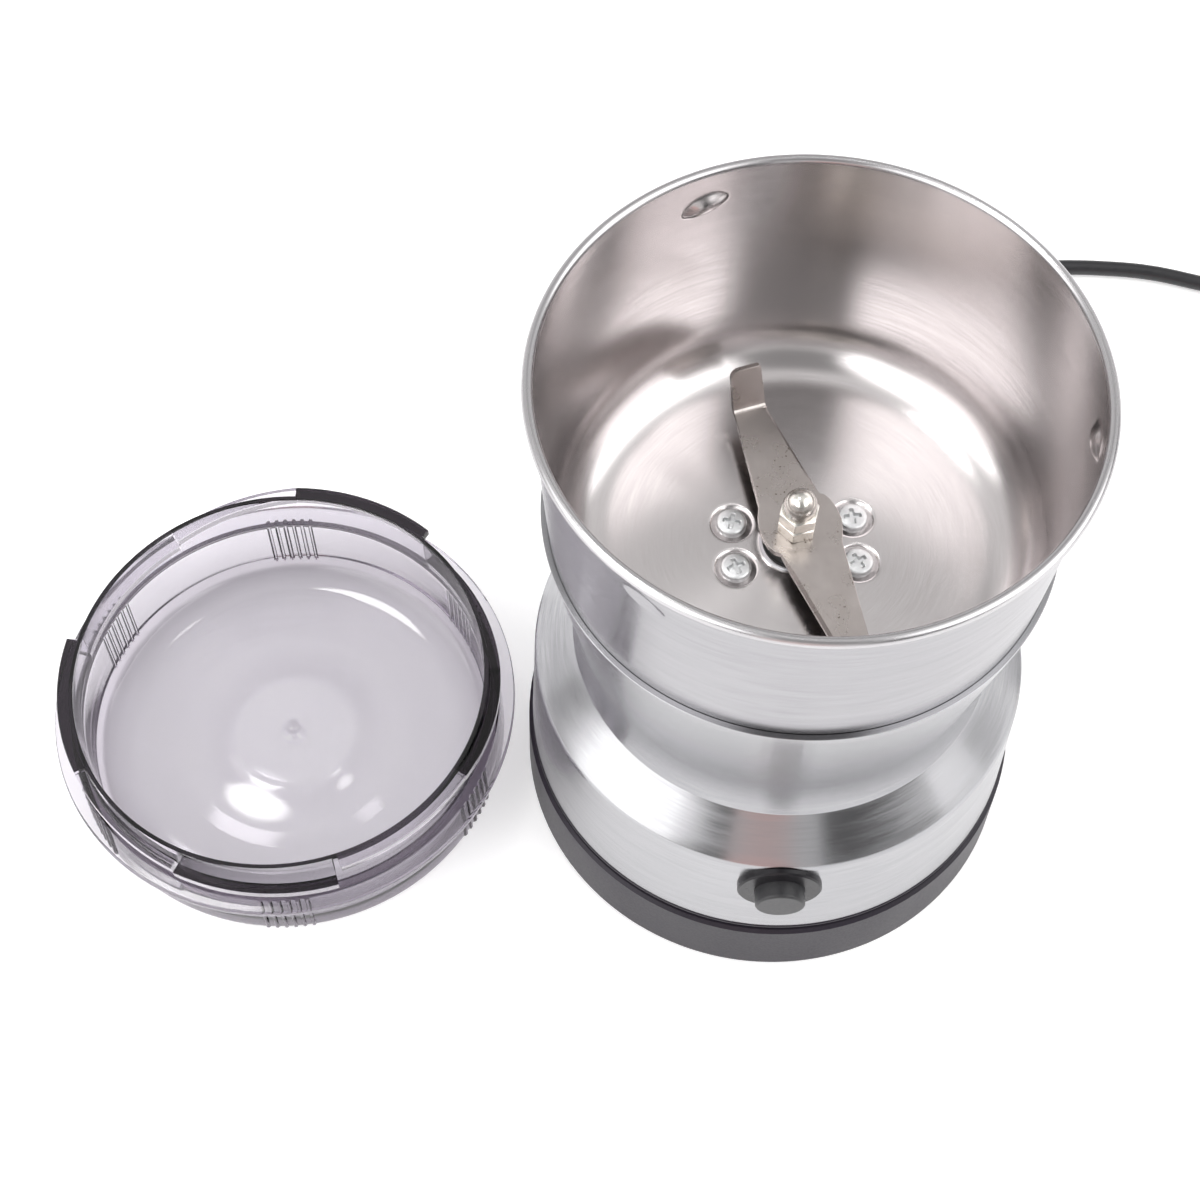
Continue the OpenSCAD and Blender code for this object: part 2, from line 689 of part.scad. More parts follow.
// Front view of a tip, with one corner rounded off
module tip_outline() {
    top = bend_r + (bend_r + blade_t) * sin(tip_bend - 90) + tip_length * sin(tip_bend) + 0.7;
    translate([-9, -3]) square([18, 8]);
    difference() {
        polygon([[-3.4, 0], [3.3, 0], [2.8, top + 1], [-2.8, top + 1]]);
        difference() {
            translate([-5, top - 1.9]) square([4, 5]);
            translate([-1.1, top - 1.9]) circle(r = 1.9, $fn = 32);
        }
    }
}

module blade() {
    color("lightgray") translate([0, 0, blade_z]) rotate(blade_turn - 90) difference() {
        translate(blade_shift) for (a = [0, 180]) rotate(a) intersection() {
            rotate([90, 0, 90]) translate([0, 0, -10]) linear_extrude(20) arm_profile();
            translate([0, 0, -3]) linear_extrude(20) blade_outline(40);
            translate([0, 45, 0]) rotate([90, 0, 0]) linear_extrude(60) tip_outline();
        }
        translate([0, 0, -blade_t - 1]) cylinder(r = stud_r, h = blade_t + 2, $fn = small_fn);
    }
}

module hex(height) {
    // a hexagon with its corners rounded off at top and bottom, one corner towards -Y
    corner_r = m4_flats / sqrt(3);
    intersection() {
        rotate(30) cylinder(r = corner_r, h = height, $fn = 6);
        rotate_extrude($fn = 64) polygon([[0, 0], [m4_flats / 2, 0], [corner_r + 0.05, 0.35],
            [corner_r + 0.05, height - 0.35], [m4_flats / 2, height], [0, height]]);
    }
}

module blade_nut() {
    color("silver") translate([0, 0, blade_z]) difference() {
        hex(m4_nut_h);
        translate([0, 0, -1]) cylinder(r = stud_r, h = m4_nut_h + 2, $fn = small_fn);
    }
}

module cap_nut() {
    dome_r = 3.25;
    color("silver") translate([0, 0, blade_z + m4_nut_h]) difference() {
        union() {
            hex(m4_nut_h);
            translate([0, 0, m4_nut_h - 0.2]) cylinder(r = dome_r, h = 1.75, $fn = 48);
            translate([0, 0, m4_nut_h + 1.55]) sphere(r = dome_r, $fn = 48);
        }
        translate([0, 0, -1]) cylinder(r = stud_r, h = 7.6, $fn = small_fn);
        translate([0, 0, -4]) cylinder(r = 6, h = 4, $fn = 24);
    }
}

// ---------------------------------------------------------------- switch

// Turns a shape drawn along +Z so that it runs into the housing along +Y at the button's height
module into_housing(y) {
    translate([switch_x, y, button_z]) rotate([-90, 0, 0]) children();
}

module switch_bezel() {
    color([0.1, 0.1, 0.11]) difference() {
        union() {
            difference() {
                into_housing(bezel_face_y) rotate_extrude($fn = 96)
                    polygon([[0, 0], [bezel_r - bezel_edge, 0], [bezel_r, bezel_edge],
                        [bezel_r, 4], [0, 4]]);
                translate([0, 0, base_z])
                    cylinder(r1 = shell_foot_r, r2 = shoulder_r, h = shoulder_z - base_z, $fn = round_fn);
                translate([0, 0, shoulder_z - eps]) cylinder(r = shoulder_r, h = 10, $fn = round_fn);
            }
            into_housing(bezel_face_y + 0.5)
                cylinder(r = sleeve_r, h = sleeve_end_y - bezel_face_y - 0.5, $fn = 64);
        }
        into_housing(bezel_face_y - 1) cylinder(r = button_d / 2 + 0.1, h = 10, $fn = 64);
        into_housing(lip_inner_y) cylinder(r = 6.2, h = 12, $fn = 64);
    }
}

module switch_body() {
    depth = 12;
    color([0.16, 0.16, 0.18]) difference() {
        union() {
            translate([switch_x - 8, sleeve_end_y, button_z - 7]) cube([16, depth, 14]);
            for (s = [-1, 1]) translate([switch_x + s * 4 - 1.6, sleeve_end_y + depth - 1, button_z - 0.4])
                cube([3.2, 4.5, 0.8]);
        }
        into_housing(sleeve_end_y - 1) cylinder(r = 2.5, h = 5.5, $fn = small_fn);
    }
}

module button() {
    r = button_d / 2;
    collar_y = lip_inner_y + 0.1;
    color([0.12, 0.12, 0.13]) into_housing(button_face_y) rotate_extrude($fn = 64) {
        difference() {
            square([r, collar_y - button_face_y + 0.5]);
            translate([r - 0.6, 0]) difference() {
                translate([0, -1]) square([2, 1.6]);
                translate([0, 0.6]) circle(r = 0.6, $fn = 32);
            }
        }
        translate([0, collar_y - button_face_y]) square([6.05, collar_t]);
        translate([0, collar_y - button_face_y]) square([2.2, collar_t + 5.2]);
    }
}

module button_spring() {
    start = lip_inner_y + 0.1 + collar_t;
    color("silver") into_housing(start + 0.35)
        tube(helix(4.3, sleeve_end_y - start - 0.7, 4, 12), 0.35, 6);
}

// ---------------------------------------------------------------- cord

module cord_grommet() {
    color([0.13, 0.13, 0.14]) translate([0, 0, exit_z]) rotate([-90, 0, 0]) rotate_extrude($fn = 48) {
        translate([0, 47.8]) square([5.4, 2]);
        translate([0, 49]) square([3.9, 6]);
        polygon([[0, 54.4], [5, 54.4], [5, 55.8], [3.9, 56.6], [2.7, 77], [0, 77]]);
    }
}

module cord_clamp() {
    color([0.2, 0.19, 0.21]) difference() {
        translate([-8, 36, exit_z - cord_r]) cube([16, 7, 5.6]);
        translate([0, 34, exit_z]) rotate([-90, 0, 0]) cylinder(r = cord_r, h = 12, $fn = 48);
        translate([-cord_r, 34, exit_z - 5]) cube([cord_d, 12, 5]);
        for (s = [-1, 1]) translate([s * 5.4, 39.5, 0]) cylinder(r = 1.6, h = 30, $fn = 24);
    }
}

module clamp_screws() {
    top = exit_z - cord_r + 5.6;
    color("silver") for (s = [-1, 1]) translate([s * 5.4, 39.5, 0]) {
        translate([0, 0, floor_z + floor_t + 0.6])
            cylinder(r = 1.25, h = top - floor_z - floor_t, $fn = 24);
        difference() {
            translate([0, 0, top]) cylinder(r = 2.5, h = 1.8, $fn = 32);
            for (a = [0, 90]) rotate(a) translate([-1.5, -0.3, top + 1]) cube([3, 0.6, 2]);
        }
    }
}

// The cord's end inside the base, and its two wires to the switch and to a brush
module inner_leads() {
    color([0.35, 0.2, 0.12]) {
        translate([0, 30, exit_z]) rotate([-90, 0, 0]) cylinder(r = cord_r, h = 17.8, $fn = 48);
        tube(switch_lead, 0.8, 8);
        tube(brush_lead, 0.8, 8);
    }
}

module cord() {
    color([0.12, 0.12, 0.14]) {
        tube(cord_route, cord_r, 10);
        tube(tail_route, cord_r, 10);
    }
}

module coil_outline() {
    r = 1.8;
    width = coil_out_r - coil_in_r;
    translate([coil_in_r + r, coil_z]) square([width - 2 * r, coil_h]);
    translate([coil_in_r, coil_z + r]) square([width, coil_h - 2 * r]);
    for (x = [coil_in_r + r, coil_out_r - r], z = [coil_z + r, coil_z + coil_h - r])
        translate([x, z]) circle(r = r, $fn = 24);
}

module cord_coil() {
    color([0.12, 0.12, 0.14]) translate([coil_centre[0], coil_centre[1], 0])
        rotate_extrude($fn = 96) coil_outline();
}

// Two bands around the coil's bundle of turns
module cord_ties() {
    span = 8;
    color([0.2, 0.2, 0.2]) translate([coil_centre[0], coil_centre[1], 0])
        for (a = [135, 315]) rotate(a - span / 2) rotate_extrude(angle = span, $fn = 96) difference() {
            translate([coil_in_r - tie_t, coil_z - tie_t])
                square([coil_out_r - coil_in_r + 2 * tie_t, coil_h + 2 * tie_t]);
            coil_outline();
        }
}

module plug() {
    thick = 2 * plug_z;
    color([0.13, 0.13, 0.14]) translate([plug_x, 0, plug_z]) {
        difference() {
            translate([0, 0, -thick / 2]) linear_extrude(thick)
                polygon([[-17.5, plug_front_y], [17.5, plug_front_y], [17.5, plug_front_y + 12],
                    [9, plug_back_y], [-9, plug_back_y], [-17.5, plug_front_y + 12]]);
            // finger recesses on both faces
            for (s = [-1, 1]) translate([0, plug_front_y + 22, s * (thick / 2 + 16)])
                rotate([0, 90, 0]) cylinder(r = 18, h = 12, center = true, $fn = 96);
        }
        translate([0, plug_back_y - eps, 0]) rotate([-90, 0, 0])
            cylinder(r1 = 3.8, r2 = 2.6, h = 74 - plug_back_y + eps, $fn = 32);
    }
}

module plug_pins() {
    color("gold") for (s = [-1, 1]) translate([plug_x + s * pin_gap / 2, plug_front_y, plug_z])
        rotate([90, 0, 0]) {
            cylinder(r = 2, h = pin_length - 2, $fn = 32);
            translate([0, 0, pin_length - 2]) sphere(r = 2, $fn = 32);
        }
}

// ---------------------------------------------------------------- lid

module lid_section() {
    foot_round = 3.5;
    dish_r = 15;
    dish_foot_r = 28;
    dish_h = 1.8;
    difference() {
        union() {
            // floor with a shallow dish, wall, flange and plug
            polygon([[0, dish_h], [dish_r, dish_h], [dish_foot_r, 0], [lid_wall_r - foot_round, 0],
                [lid_wall_r - foot_round, 6], [dish_foot_r, lid_floor_t],
                [dish_r, dish_h + lid_floor_t], [0, dish_h + lid_floor_t]]);
            translate([lid_wall_r - foot_round, foot_round]) circle(r = foot_round, $fn = 64);
            polygon([[lid_bore_r - 2, lid_floor_t - 1], [lid_wall_r - 2, foot_round],
                [lid_wall_r, foot_round],
                [lid_wall_r - 0.2, flange_z], [lid_flange_r - 0.4, flange_z],
                [lid_flange_r, flange_z + 0.4], [lid_flange_r, flange_z + flange_t - 0.4],
                [lid_flange_r - 0.4, flange_z + flange_t], [lid_plug_r, flange_z + flange_t],
                [lid_plug_r, lid_h], [lid_bore_r + 0.3, lid_h], [lid_bore_r, 20], [lid_bore_r - 2, 20]]);
        }
        // hollow, with a small round in its corner
        polygon([[dish_foot_r, lid_floor_t], [lid_bore_r - 1.4, lid_floor_t],
            [lid_bore_r - 0.2, lid_floor_t + 1.4], [lid_bore_r, 20], [dish_foot_r, 21]]);
    }
    // stub left where the lid was filled
    translate([0, dish_h + lid_floor_t - eps])
        polygon([[0, 0], [2.3, 0], [1.5, 0.7], [1, 1.2], [0, 1.4]]);
}

// A stretch of ledge around the plug from angle a to b, its top going evenly from z0 to z1
module ledge(a, b, z0, z1) {
    slope = atan((z1 - z0) / (PI * ledge_r * (b - a) / 180));
    reach = (b - a) / cos(slope) + 0.6;
    rotate((a + b) / 2) translate([0, 0, (z0 + z1) / 2]) rotate([slope, 0, 0]) rotate(-reach / 2)
        translate([0, 0, -ledge_t]) rotate_extrude(angle = reach, $fn = round_fn)
            translate([lid_bore_r + 0.6, 0]) square([ledge_r - lid_bore_r - 0.6, ledge_t]);
}

// Three lugs level with the lid's rim turn under the dimples of the bowl. Each ends in a stop that
// slopes down to a low ledge.
module bayonet_ledges() {
    for (a = [0 : 120 : 240]) rotate(a) {
        ledge(lug_start, lug_end, lid_h, lid_h);
        ledge(lug_end, stop_end, lid_h - 0.1, ledge_z);
        ledge(stop_end, ledge_end, ledge_z, ledge_z - 1.5);
    }
}

module grip_ribs() {
    for (group = [33.8 : 60 : 333.8], k = [-2.5 : 1 : 2.5]) rotate(group + k * 2.4)
        translate([lid_wall_r - 0.8, -0.35, 2.6]) cube([1.2, 0.7, flange_z - 2.5]);
}

module lid() {
    color([0.75, 0.74, 0.78, 0.45]) translate([lid_x, lid_y, 0]) {
        rotate_extrude($fn = round_fn) lid_section();
        bayonet_ledges();
        grip_ribs();
    }
}

// ---------------------------------------------------------------- parts

bowl();
bowl_screws();
shaft_seal();
housing_shell();
base();
rubber_feet();
base_screws();
motor_dampers();
motor_top_bracket();
motor_end_frame();
motor_bolts();
stator_core();
field_coils();
top_bearing();
bottom_bearing();
brush_holders();
carbon_brushes();
brush_springs();
shaft();
armature_core();
armature_windings();
commutator();
cooling_fan();
blade_collar();
blade();
blade_nut();
cap_nut();
switch_bezel();
switch_body();
button();
button_spring();
cord_grommet();
cord_clamp();
clamp_screws();
inner_leads();
cord();
cord_coil();
cord_ties();
plug();
plug_pins();
lid();
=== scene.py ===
# Electric spice grinder: steel bowl and waisted steel housing on a black base, with its lid set
# upside down beside it. Metres, +Z up; the motor's axis is the Z axis.
import math

import bmesh
import bpy
from mathutils import Matrix, Vector


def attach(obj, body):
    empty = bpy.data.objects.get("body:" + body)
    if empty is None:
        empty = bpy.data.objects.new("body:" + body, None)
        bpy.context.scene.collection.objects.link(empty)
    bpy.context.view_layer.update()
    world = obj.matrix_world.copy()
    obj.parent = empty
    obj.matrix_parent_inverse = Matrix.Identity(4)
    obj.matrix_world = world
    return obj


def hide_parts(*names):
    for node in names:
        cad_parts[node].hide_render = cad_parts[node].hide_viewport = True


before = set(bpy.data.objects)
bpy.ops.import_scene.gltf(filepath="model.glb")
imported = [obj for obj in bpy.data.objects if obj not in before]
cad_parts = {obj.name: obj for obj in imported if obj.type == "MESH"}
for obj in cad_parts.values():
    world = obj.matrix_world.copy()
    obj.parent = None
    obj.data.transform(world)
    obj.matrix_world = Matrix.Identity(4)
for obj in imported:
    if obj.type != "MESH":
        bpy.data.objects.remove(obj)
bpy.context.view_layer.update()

# ---------------------------------------------------------------- studio
# A camera above and in front of the grinder, and a white table top that gives off a little light.
# The pale room round them has two wide soft lights, two small lamps overhead and darker stretches
# between them, so the steel picks up bright and dark bands.
MM = 0.001

camera_data = bpy.data.cameras.new("studio_camera")
camera_data.sensor_width = 36.0
camera_data.lens = 64.09
camera_data.clip_start = 0.01
studio_camera = bpy.data.objects.new("studio_camera", camera_data)
bpy.context.collection.objects.link(studio_camera)
camera_place = (-0.03821, -0.21820, 0.45210)
tilt = Matrix.Rotation(math.radians(29.61), 4, "X")
roll = Matrix.Rotation(math.radians(0.57), 4, "Z")
studio_camera.matrix_world = Matrix.Translation(camera_place) @ tilt @ roll
bpy.context.scene.camera = studio_camera


def linked(mesh_or_curve, name):
    obj = bpy.data.objects.new(name, mesh_or_curve)
    bpy.context.collection.objects.link(obj)
    return obj


def from_bmesh(bm, name, sharp=35.0):
    mesh = bpy.data.meshes.new(name)
    bm.to_mesh(mesh)
    bm.free()
    for face in mesh.polygons:
        face.use_smooth = True
    mesh.set_sharp_from_angle(angle=math.radians(sharp))
    return linked(mesh, name)


def material_of(name, colour, rough, metal=0.0):
    """A new material with its Principled shader, ready for nodes of its own."""
    mat = bpy.data.materials.new(name)
    mat.use_nodes = True
    shader = mat.node_tree.nodes["Principled BSDF"]
    shader.inputs["Base Color"].default_value = (*colour, 1.0)
    shader.inputs["Roughness"].default_value = rough
    shader.inputs["Metallic"].default_value = metal
    return mat, shader


def add_node(mat, kind, **settings):
    node = mat.node_tree.nodes.new(kind)
    for key, value in settings.items():
        if key in node.inputs:
            node.inputs[key].default_value = value
        else:
            setattr(node, key, value)
    return node


def wire(mat, out_socket, in_socket):
    mat.node_tree.links.new(out_socket, in_socket)


def maths(mat, operation, a, b=0.0, c=0.0):
    """The result of a Math node; a, b and c are numbers or sockets."""
    node = add_node(mat, "ShaderNodeMath", operation=operation)
    for i, value in enumerate((a, b, c)):
        if isinstance(value, (int, float)):
            node.inputs[i].default_value = value
        else:
            wire(mat, value, node.inputs[i])
    return node.outputs[0]


def noise_on(mat, scale, detail=2.0, vector=None):
    """Noise that lies on the object's own coordinates, or on the vector given."""
    node = add_node(mat, "ShaderNodeTexNoise", Scale=scale, Detail=detail)
    if vector is None:
        vector = add_node(mat, "ShaderNodeTexCoord").outputs["Object"]
    wire(mat, vector, node.inputs["Vector"])
    return node.outputs["Fac"]


def mapped(mat, value, from_min, from_max, to_min, to_max):
    node = add_node(mat, "ShaderNodeMapRange")
    limits = {"From Min": from_min, "From Max": from_max, "To Min": to_min, "To Max": to_max}
    for key, number in limits.items():
        node.inputs[key].default_value = number
    wire(mat, value, node.inputs["Value"])
    return node.outputs[0]


def tinted(mat, share, colour_a, colour_b):
    node = add_node(mat, "ShaderNodeMixRGB", Color1=(*colour_a, 1.0), Color2=(*colour_b, 1.0))
    wire(mat, share, node.inputs["Fac"])
    return node.outputs["Color"]


table_half, table_gap, table_glow = 3.0, 0.15 * MM, 0.42
table = bmesh.new()
bmesh.ops.create_grid(table, x_segments=1, y_segments=1, size=table_half)
bmesh.ops.translate(table, verts=table.verts[:], vec=(0, 0, -table_gap))
table_top = from_bmesh(table, "table_top")
table_finish, table_shader = material_of("table_finish", (0.8, 0.8, 0.8), 0.8)
table_tint = tinted(table_finish, noise_on(table_finish, 6.0),
                    (0.79, 0.79, 0.795), (0.81, 0.81, 0.815))
wire(table_finish, table_tint, table_shader.inputs["Base Color"])
table_shader.inputs["Emission Color"].default_value = (1.0, 1.0, 1.0, 1.0)
table_shader.inputs["Emission Strength"].default_value = table_glow
table_top.data.materials.append(table_finish)

sky = bpy.data.worlds.new("studio_sky")
sky.use_nodes = True
bpy.context.scene.world = sky
sky_light = sky.node_tree.nodes["Background"]
sky_way = add_node(sky, "ShaderNodeTexCoord").outputs["Generated"]


def round_light(azimuth, elevation, radius, soft):
    """1 inside a round patch of the room, 0 outside it, with a soft edge; all in degrees."""
    aim = (math.cos(math.radians(azimuth)) * math.cos(math.radians(elevation)),
           math.sin(math.radians(azimuth)) * math.cos(math.radians(elevation)),
           math.sin(math.radians(elevation)))
    dot = add_node(sky, "ShaderNodeVectorMath", operation="DOT_PRODUCT")
    wire(sky, sky_way, dot.inputs[0])
    dot.inputs[1].default_value = aim
    away = maths(sky, "ARCCOSINE", maths(sky, "MINIMUM", dot.outputs["Value"], 1.0))
    edge = add_node(sky, "ShaderNodeMapRange", interpolation_type="SMOOTHSTEP")
    edge.inputs["From Min"].default_value = math.radians(radius - soft / 2)
    edge.inputs["From Max"].default_value = math.radians(radius + soft / 2)
    edge.inputs["To Min"].default_value = 1.0
    edge.inputs["To Max"].default_value = 0.0
    wire(sky, away, edge.inputs["Value"])
    return edge.outputs[0]


room_brightness, room_darkest = 0.86, 0.06
room_tint, warm_tint = (1.0, 0.992, 0.99), (1.0, 0.62, 0.57)
# Azimuth, elevation, radius and softness in degrees, and what each patch adds to the room
room_patches = [
    (-152, 36, 34, 9, 2.1), (-14, 40, 31, 9, 2.1),  # the wide soft lights
    (130, 70.3, 4.4, 1.6, 13.0), (86, 74, 1.5, 1.0, 7.0),  # the small lamps
    (-116, 17, 11, 3, -0.84), (-50, 14, 22, 4, -0.82), (10, 9, 20, 6, -0.75),
    (180, 6, 12, 6, -0.6), (-84, 56, 22, 10, -0.52), (88, 42, 16, 14, -0.4)]
for *patch_place, change in room_patches:
    patch = round_light(*patch_place)
    room_brightness = maths(sky, "ADD", room_brightness, maths(sky, "MULTIPLY", patch, change))
room_brightness = maths(sky, "MAXIMUM", room_brightness, room_darkest)
# a warm card low in front, between the dark gaps
warm_card = round_light(-94, 8, 12, 5)
room_brightness = maths(sky, "MULTIPLY", room_brightness, maths(sky, "SUBTRACT", 1.0, warm_card))
sky_tint = add_node(sky, "ShaderNodeCombineXYZ")
for i, (share, warm) in enumerate(zip(room_tint, warm_tint)):
    wire(sky, maths(sky, "ADD", maths(sky, "MULTIPLY", room_brightness, share),
                    maths(sky, "MULTIPLY", warm_card, warm)), sky_tint.inputs[i])
wire(sky, sky_tint.outputs[0], sky_light.inputs["Color"])
sky_light.inputs["Strength"].default_value = 1.0
bpy.context.scene.view_settings.view_transform = "Standard"

# ---------------------------------------------------------------- power cord
# A round two-core cord in black rubber that comes out behind the base, lies over the table and
# is wound into a tied coil with a two-pin plug. Its sheath is smooth, with a faint sheen.
cord_radius = 1.96 * MM
cord_route = [(0, 77.05, 12), (0, 82, 11.8), (0.2, 87.4, 10.9), (1, 93, 9.1), (2.8, 98.6, 6.6),
              (5.6, 104.4, 4.2), (9.8, 110.6, 2.6), (15.2, 117, 2.05), (22, 123, 2),
              (28.6, 127.7, 2), (37, 132, 2), (47, 135.6, 2), (57, 138.4, 2), (69, 140.2, 2),
              (81.6, 140.8, 2), (94, 140.7, 2), (107, 139.4, 2), (120, 136, 2), (131.8, 132.6, 2),
              (143.6, 129, 2), (155, 125.2, 2.2)]
coil_centre = (154, 100)
coil_start, coil_wound, coil_step = 66, 1860, 15
# Degrees wound so far, distance from the coil's middle and height of the cord there
winding = [(0, 24, 2.8), (310, 24, 2.8), (360, 20, 2.8), (620, 20, 2.8), (670, 20, 6.8),
           (930, 20, 6.8), (980, 24, 6.8), (1240, 24, 6.8), (1300, 20, 10.8), (1560, 20, 10.8),
           (1610, 24, 10.8), (1900, 24, 10.8)]
cord_tail = [(178, 101, 10.8), (178.1, 95, 10.5), (178.2, 89, 9.5), (178.1, 84, 8.1),
             (178, 79.5, 7.1), (178, 74.06, 7)]


def smooth_step(value, low, high):
    share = min(1.0, max(0.0, (value - low) / (high - low)))
    return share * share * (3 - 2 * share)


def wound_points():
    """The cord's knots round the coil, eased from one layer to the next."""
    points = []
    for step in range(0, coil_wound + 1, coil_step):
        for (s0, r0, z0), (s1, r1, z1) in zip(winding, winding[1:]):
            if s0 <= step <= s1:
                share = smooth_step(step, s0, s1)
                r, z = r0 + (r1 - r0) * share, z0 + (z1 - z0) * share
        turn = math.radians(coil_start - step)
        points.append((coil_centre[0] + r * math.cos(turn), coil_centre[1] + r * math.sin(turn), z))
    return points


cord_curve = bpy.data.curves.new("power_cord", "CURVE")
cord_curve.dimensions = "3D"
cord_curve.bevel_depth = cord_radius
cord_curve.bevel_resolution = 5
cord_curve.resolution_u = 6
cord_curve.use_fill_caps = True
cord_line = cord_curve.splines.new("BEZIER")
cord_points = cord_route + wound_points() + cord_tail
cord_line.bezier_points.add(len(cord_points) - 1)
for knot, place in zip(cord_line.bezier_points, cord_points):
    knot.co = Vector(place) * MM
    knot.handle_left_type = knot.handle_right_type = "AUTO"
power_cord = linked(cord_curve, "power_cord")


def relief(mat, shader, height, strength, distance):
    """Raises and sinks the surface a little by a height; the distance is in metres."""
    bump = add_node(mat, "ShaderNodeBump", Strength=strength, Distance=distance)
    wire(mat, height, bump.inputs["Height"])
    wire(mat, bump.outputs["Normal"], shader.inputs["Normal"])


rubber, rubber_shader = material_of("cord_rubber_finish", (0.012, 0.012, 0.014), 0.42)
rubber_grain = noise_on(rubber, 900.0, 3.0)
wire(rubber, mapped(rubber, rubber_grain, 0.3, 0.7, 0.3, 0.46), rubber_shader.inputs["Roughness"])
wire(rubber, tinted(rubber, rubber_grain, (0.010, 0.010, 0.012), (0.016, 0.016, 0.018)),
     rubber_shader.inputs["Base Color"])
relief(rubber, rubber_shader, rubber_grain, 0.12, 0.0002)
power_cord.data.materials.append(rubber)
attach(power_cord, "housing")
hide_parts("cord", "cord_coil")


def finished(names, mat):
    """Gives CAD nodes their finish."""
    for name in names:
        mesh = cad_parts[name].data
        mesh.materials.clear()
        mesh.materials.append(mat)


def moulded(name, colour, worn, rough, grain, depth, shine=0.5):
    """Moulded plastic or rubber: fine grain from the mould, and a slow drift of sheen and tone."""
    mat, shader = material_of(name, colour, rough)
    shader.inputs["Specular IOR Level"].default_value = shine
    fine = noise_on(mat, grain, 3.0)
    slow = noise_on(mat, 38.0, 4.0)
    mixed = maths(mat, "ADD", maths(mat, "MULTIPLY", fine, 0.5), maths(mat, "MULTIPLY", slow, 0.5))
    sheen = mapped(mat, mixed, 0.35, 0.65, rough - 0.06, rough + 0.06)
    wire(mat, sheen, shader.inputs["Roughness"])
    tone = mapped(mat, mixed, 0.35, 0.65, 0.0, 1.0)
    wire(mat, tinted(mat, tone, colour, worn), shader.inputs["Base Color"])
    relief(mat, shader, fine, depth, 0.0001)
    return mat


def worked_metal(name, colour, stained, rough, grain, depth):
    """Metal from the tool or the plating bath: small grain, slightly patchy sheen."""
    mat = moulded(name, colour, stained, rough, grain, depth)
    mat.node_tree.nodes["Principled BSDF"].inputs["Metallic"].default_value = 1.0
    return mat


finished(["cord_grommet"], rubber)
finished(["cord_ties"],
         moulded("tie_finish", (0.03, 0.03, 0.03), (0.05, 0.05, 0.05), 0.45, 700.0, 0.1))
finished(["plug"],
         moulded("plug_finish", (0.016, 0.016, 0.018), (0.03, 0.03, 0.032), 0.5, 1500.0, 0.3))
finished(["plug_pins"],
         worked_metal("pin_finish", (0.62, 0.55, 0.38), (0.5, 0.42, 0.27), 0.26, 900.0, 0.1))

# ---------------------------------------------------------------- base
# The foot of the grinder is one moulding in black plastic, satin outside, with a rounded skirt, a
# groove under the shell and a vented floor on four rubber feet, held from below by four screws.
finished(["base", "cord_clamp"],
         moulded("base_finish", (0.010, 0.0075, 0.013), (0.015, 0.0115, 0.019),
                 0.42, 1900.0, 0.18, 0.3))
finished(["rubber_feet", "motor_dampers"],
         moulded("foot_finish", (0.014, 0.014, 0.014), (0.03, 0.03, 0.03), 0.75, 1200.0, 0.3))
finished(["base_screws", "clamp_screws", "motor_bolts"],
         worked_metal("zinc_finish", (0.56, 0.58, 0.60), (0.44, 0.46, 0.49), 0.3, 1400.0, 0.15))
finished(["inner_leads"],
         moulded("lead_finish", (0.10, 0.045, 0.022), (0.14, 0.07, 0.04), 0.45, 900.0, 0.1))

# ---------------------------------------------------------------- motor
# A small universal motor inside the housing: laminated cores, lacquered copper coils, brass brush
# holders with carbon brushes, sintered bearings, a turned copper commutator and a moulded fan.


def banded(name, colour_a, colour_b, rough, metal, bands):
    """Thin bands stacked along the Z axis: laminations, wire in layers, or turning marks."""
    mat, shader = material_of(name, colour_a, rough, metal)
    place = add_node(mat, "ShaderNodeTexCoord")
    wave = add_node(mat, "ShaderNodeTexWave", Scale=bands, Distortion=0.4, bands_direction="Z")
    wave.inputs["Detail Scale"].default_value = 2.0
    wire(mat, place.outputs["Object"], wave.inputs["Vector"])
    band = wave.outputs["Fac"]
    wire(mat, tinted(mat, band, colour_a, colour_b), shader.inputs["Base Color"])
    wire(mat, mapped(mat, band, 0.0, 1.0, rough - 0.08, rough + 0.08), shader.inputs["Roughness"])
    relief(mat, shader, band, 0.3, 0.0001)
    return mat


finished(["stator_core", "armature_core"],
         banded("core_finish", (0.10, 0.11, 0.13), (0.17, 0.18, 0.20), 0.45, 0.7, 320.0))
finished(["field_coils", "armature_windings"],
         banded("coil_finish", (0.42, 0.14, 0.045), (0.25, 0.07, 0.02), 0.32, 0.6, 480.0))
finished(["commutator"],
         banded("commutator_finish", (0.66, 0.33, 0.18), (0.48, 0.22, 0.12), 0.3, 1.0, 900.0))
finished(["motor_top_bracket"],
         worked_metal("bracket_finish", (0.56, 0.56, 0.57), (0.46, 0.46, 0.48), 0.45, 500.0, 0.4))
finished(["motor_end_frame", "switch_body"],
         moulded("phenolic_finish", (0.05, 0.035, 0.028), (0.075, 0.055, 0.045), 0.5, 800.0, 0.2))
finished(["top_bearing", "bottom_bearing"],
         worked_metal("bearing_finish", (0.45, 0.27, 0.14), (0.33, 0.19, 0.10), 0.42, 1800.0, 0.3))
finished(["brush_holders"],
         worked_metal("brass_finish", (0.70, 0.50, 0.20), (0.56, 0.38, 0.14), 0.3, 700.0, 0.1))
finished(["carbon_brushes"],
         moulded("carbon_finish", (0.03, 0.03, 0.033), (0.05, 0.05, 0.055), 0.6, 1600.0, 0.4))
finished(["brush_springs", "button_spring"],
         worked_metal("spring_finish", (0.46, 0.46, 0.47), (0.36, 0.36, 0.38), 0.28, 900.0, 0.1))
finished(["cooling_fan"],
         moulded("fan_finish", (0.62, 0.60, 0.53), (0.70, 0.68, 0.62), 0.5, 700.0, 0.15))
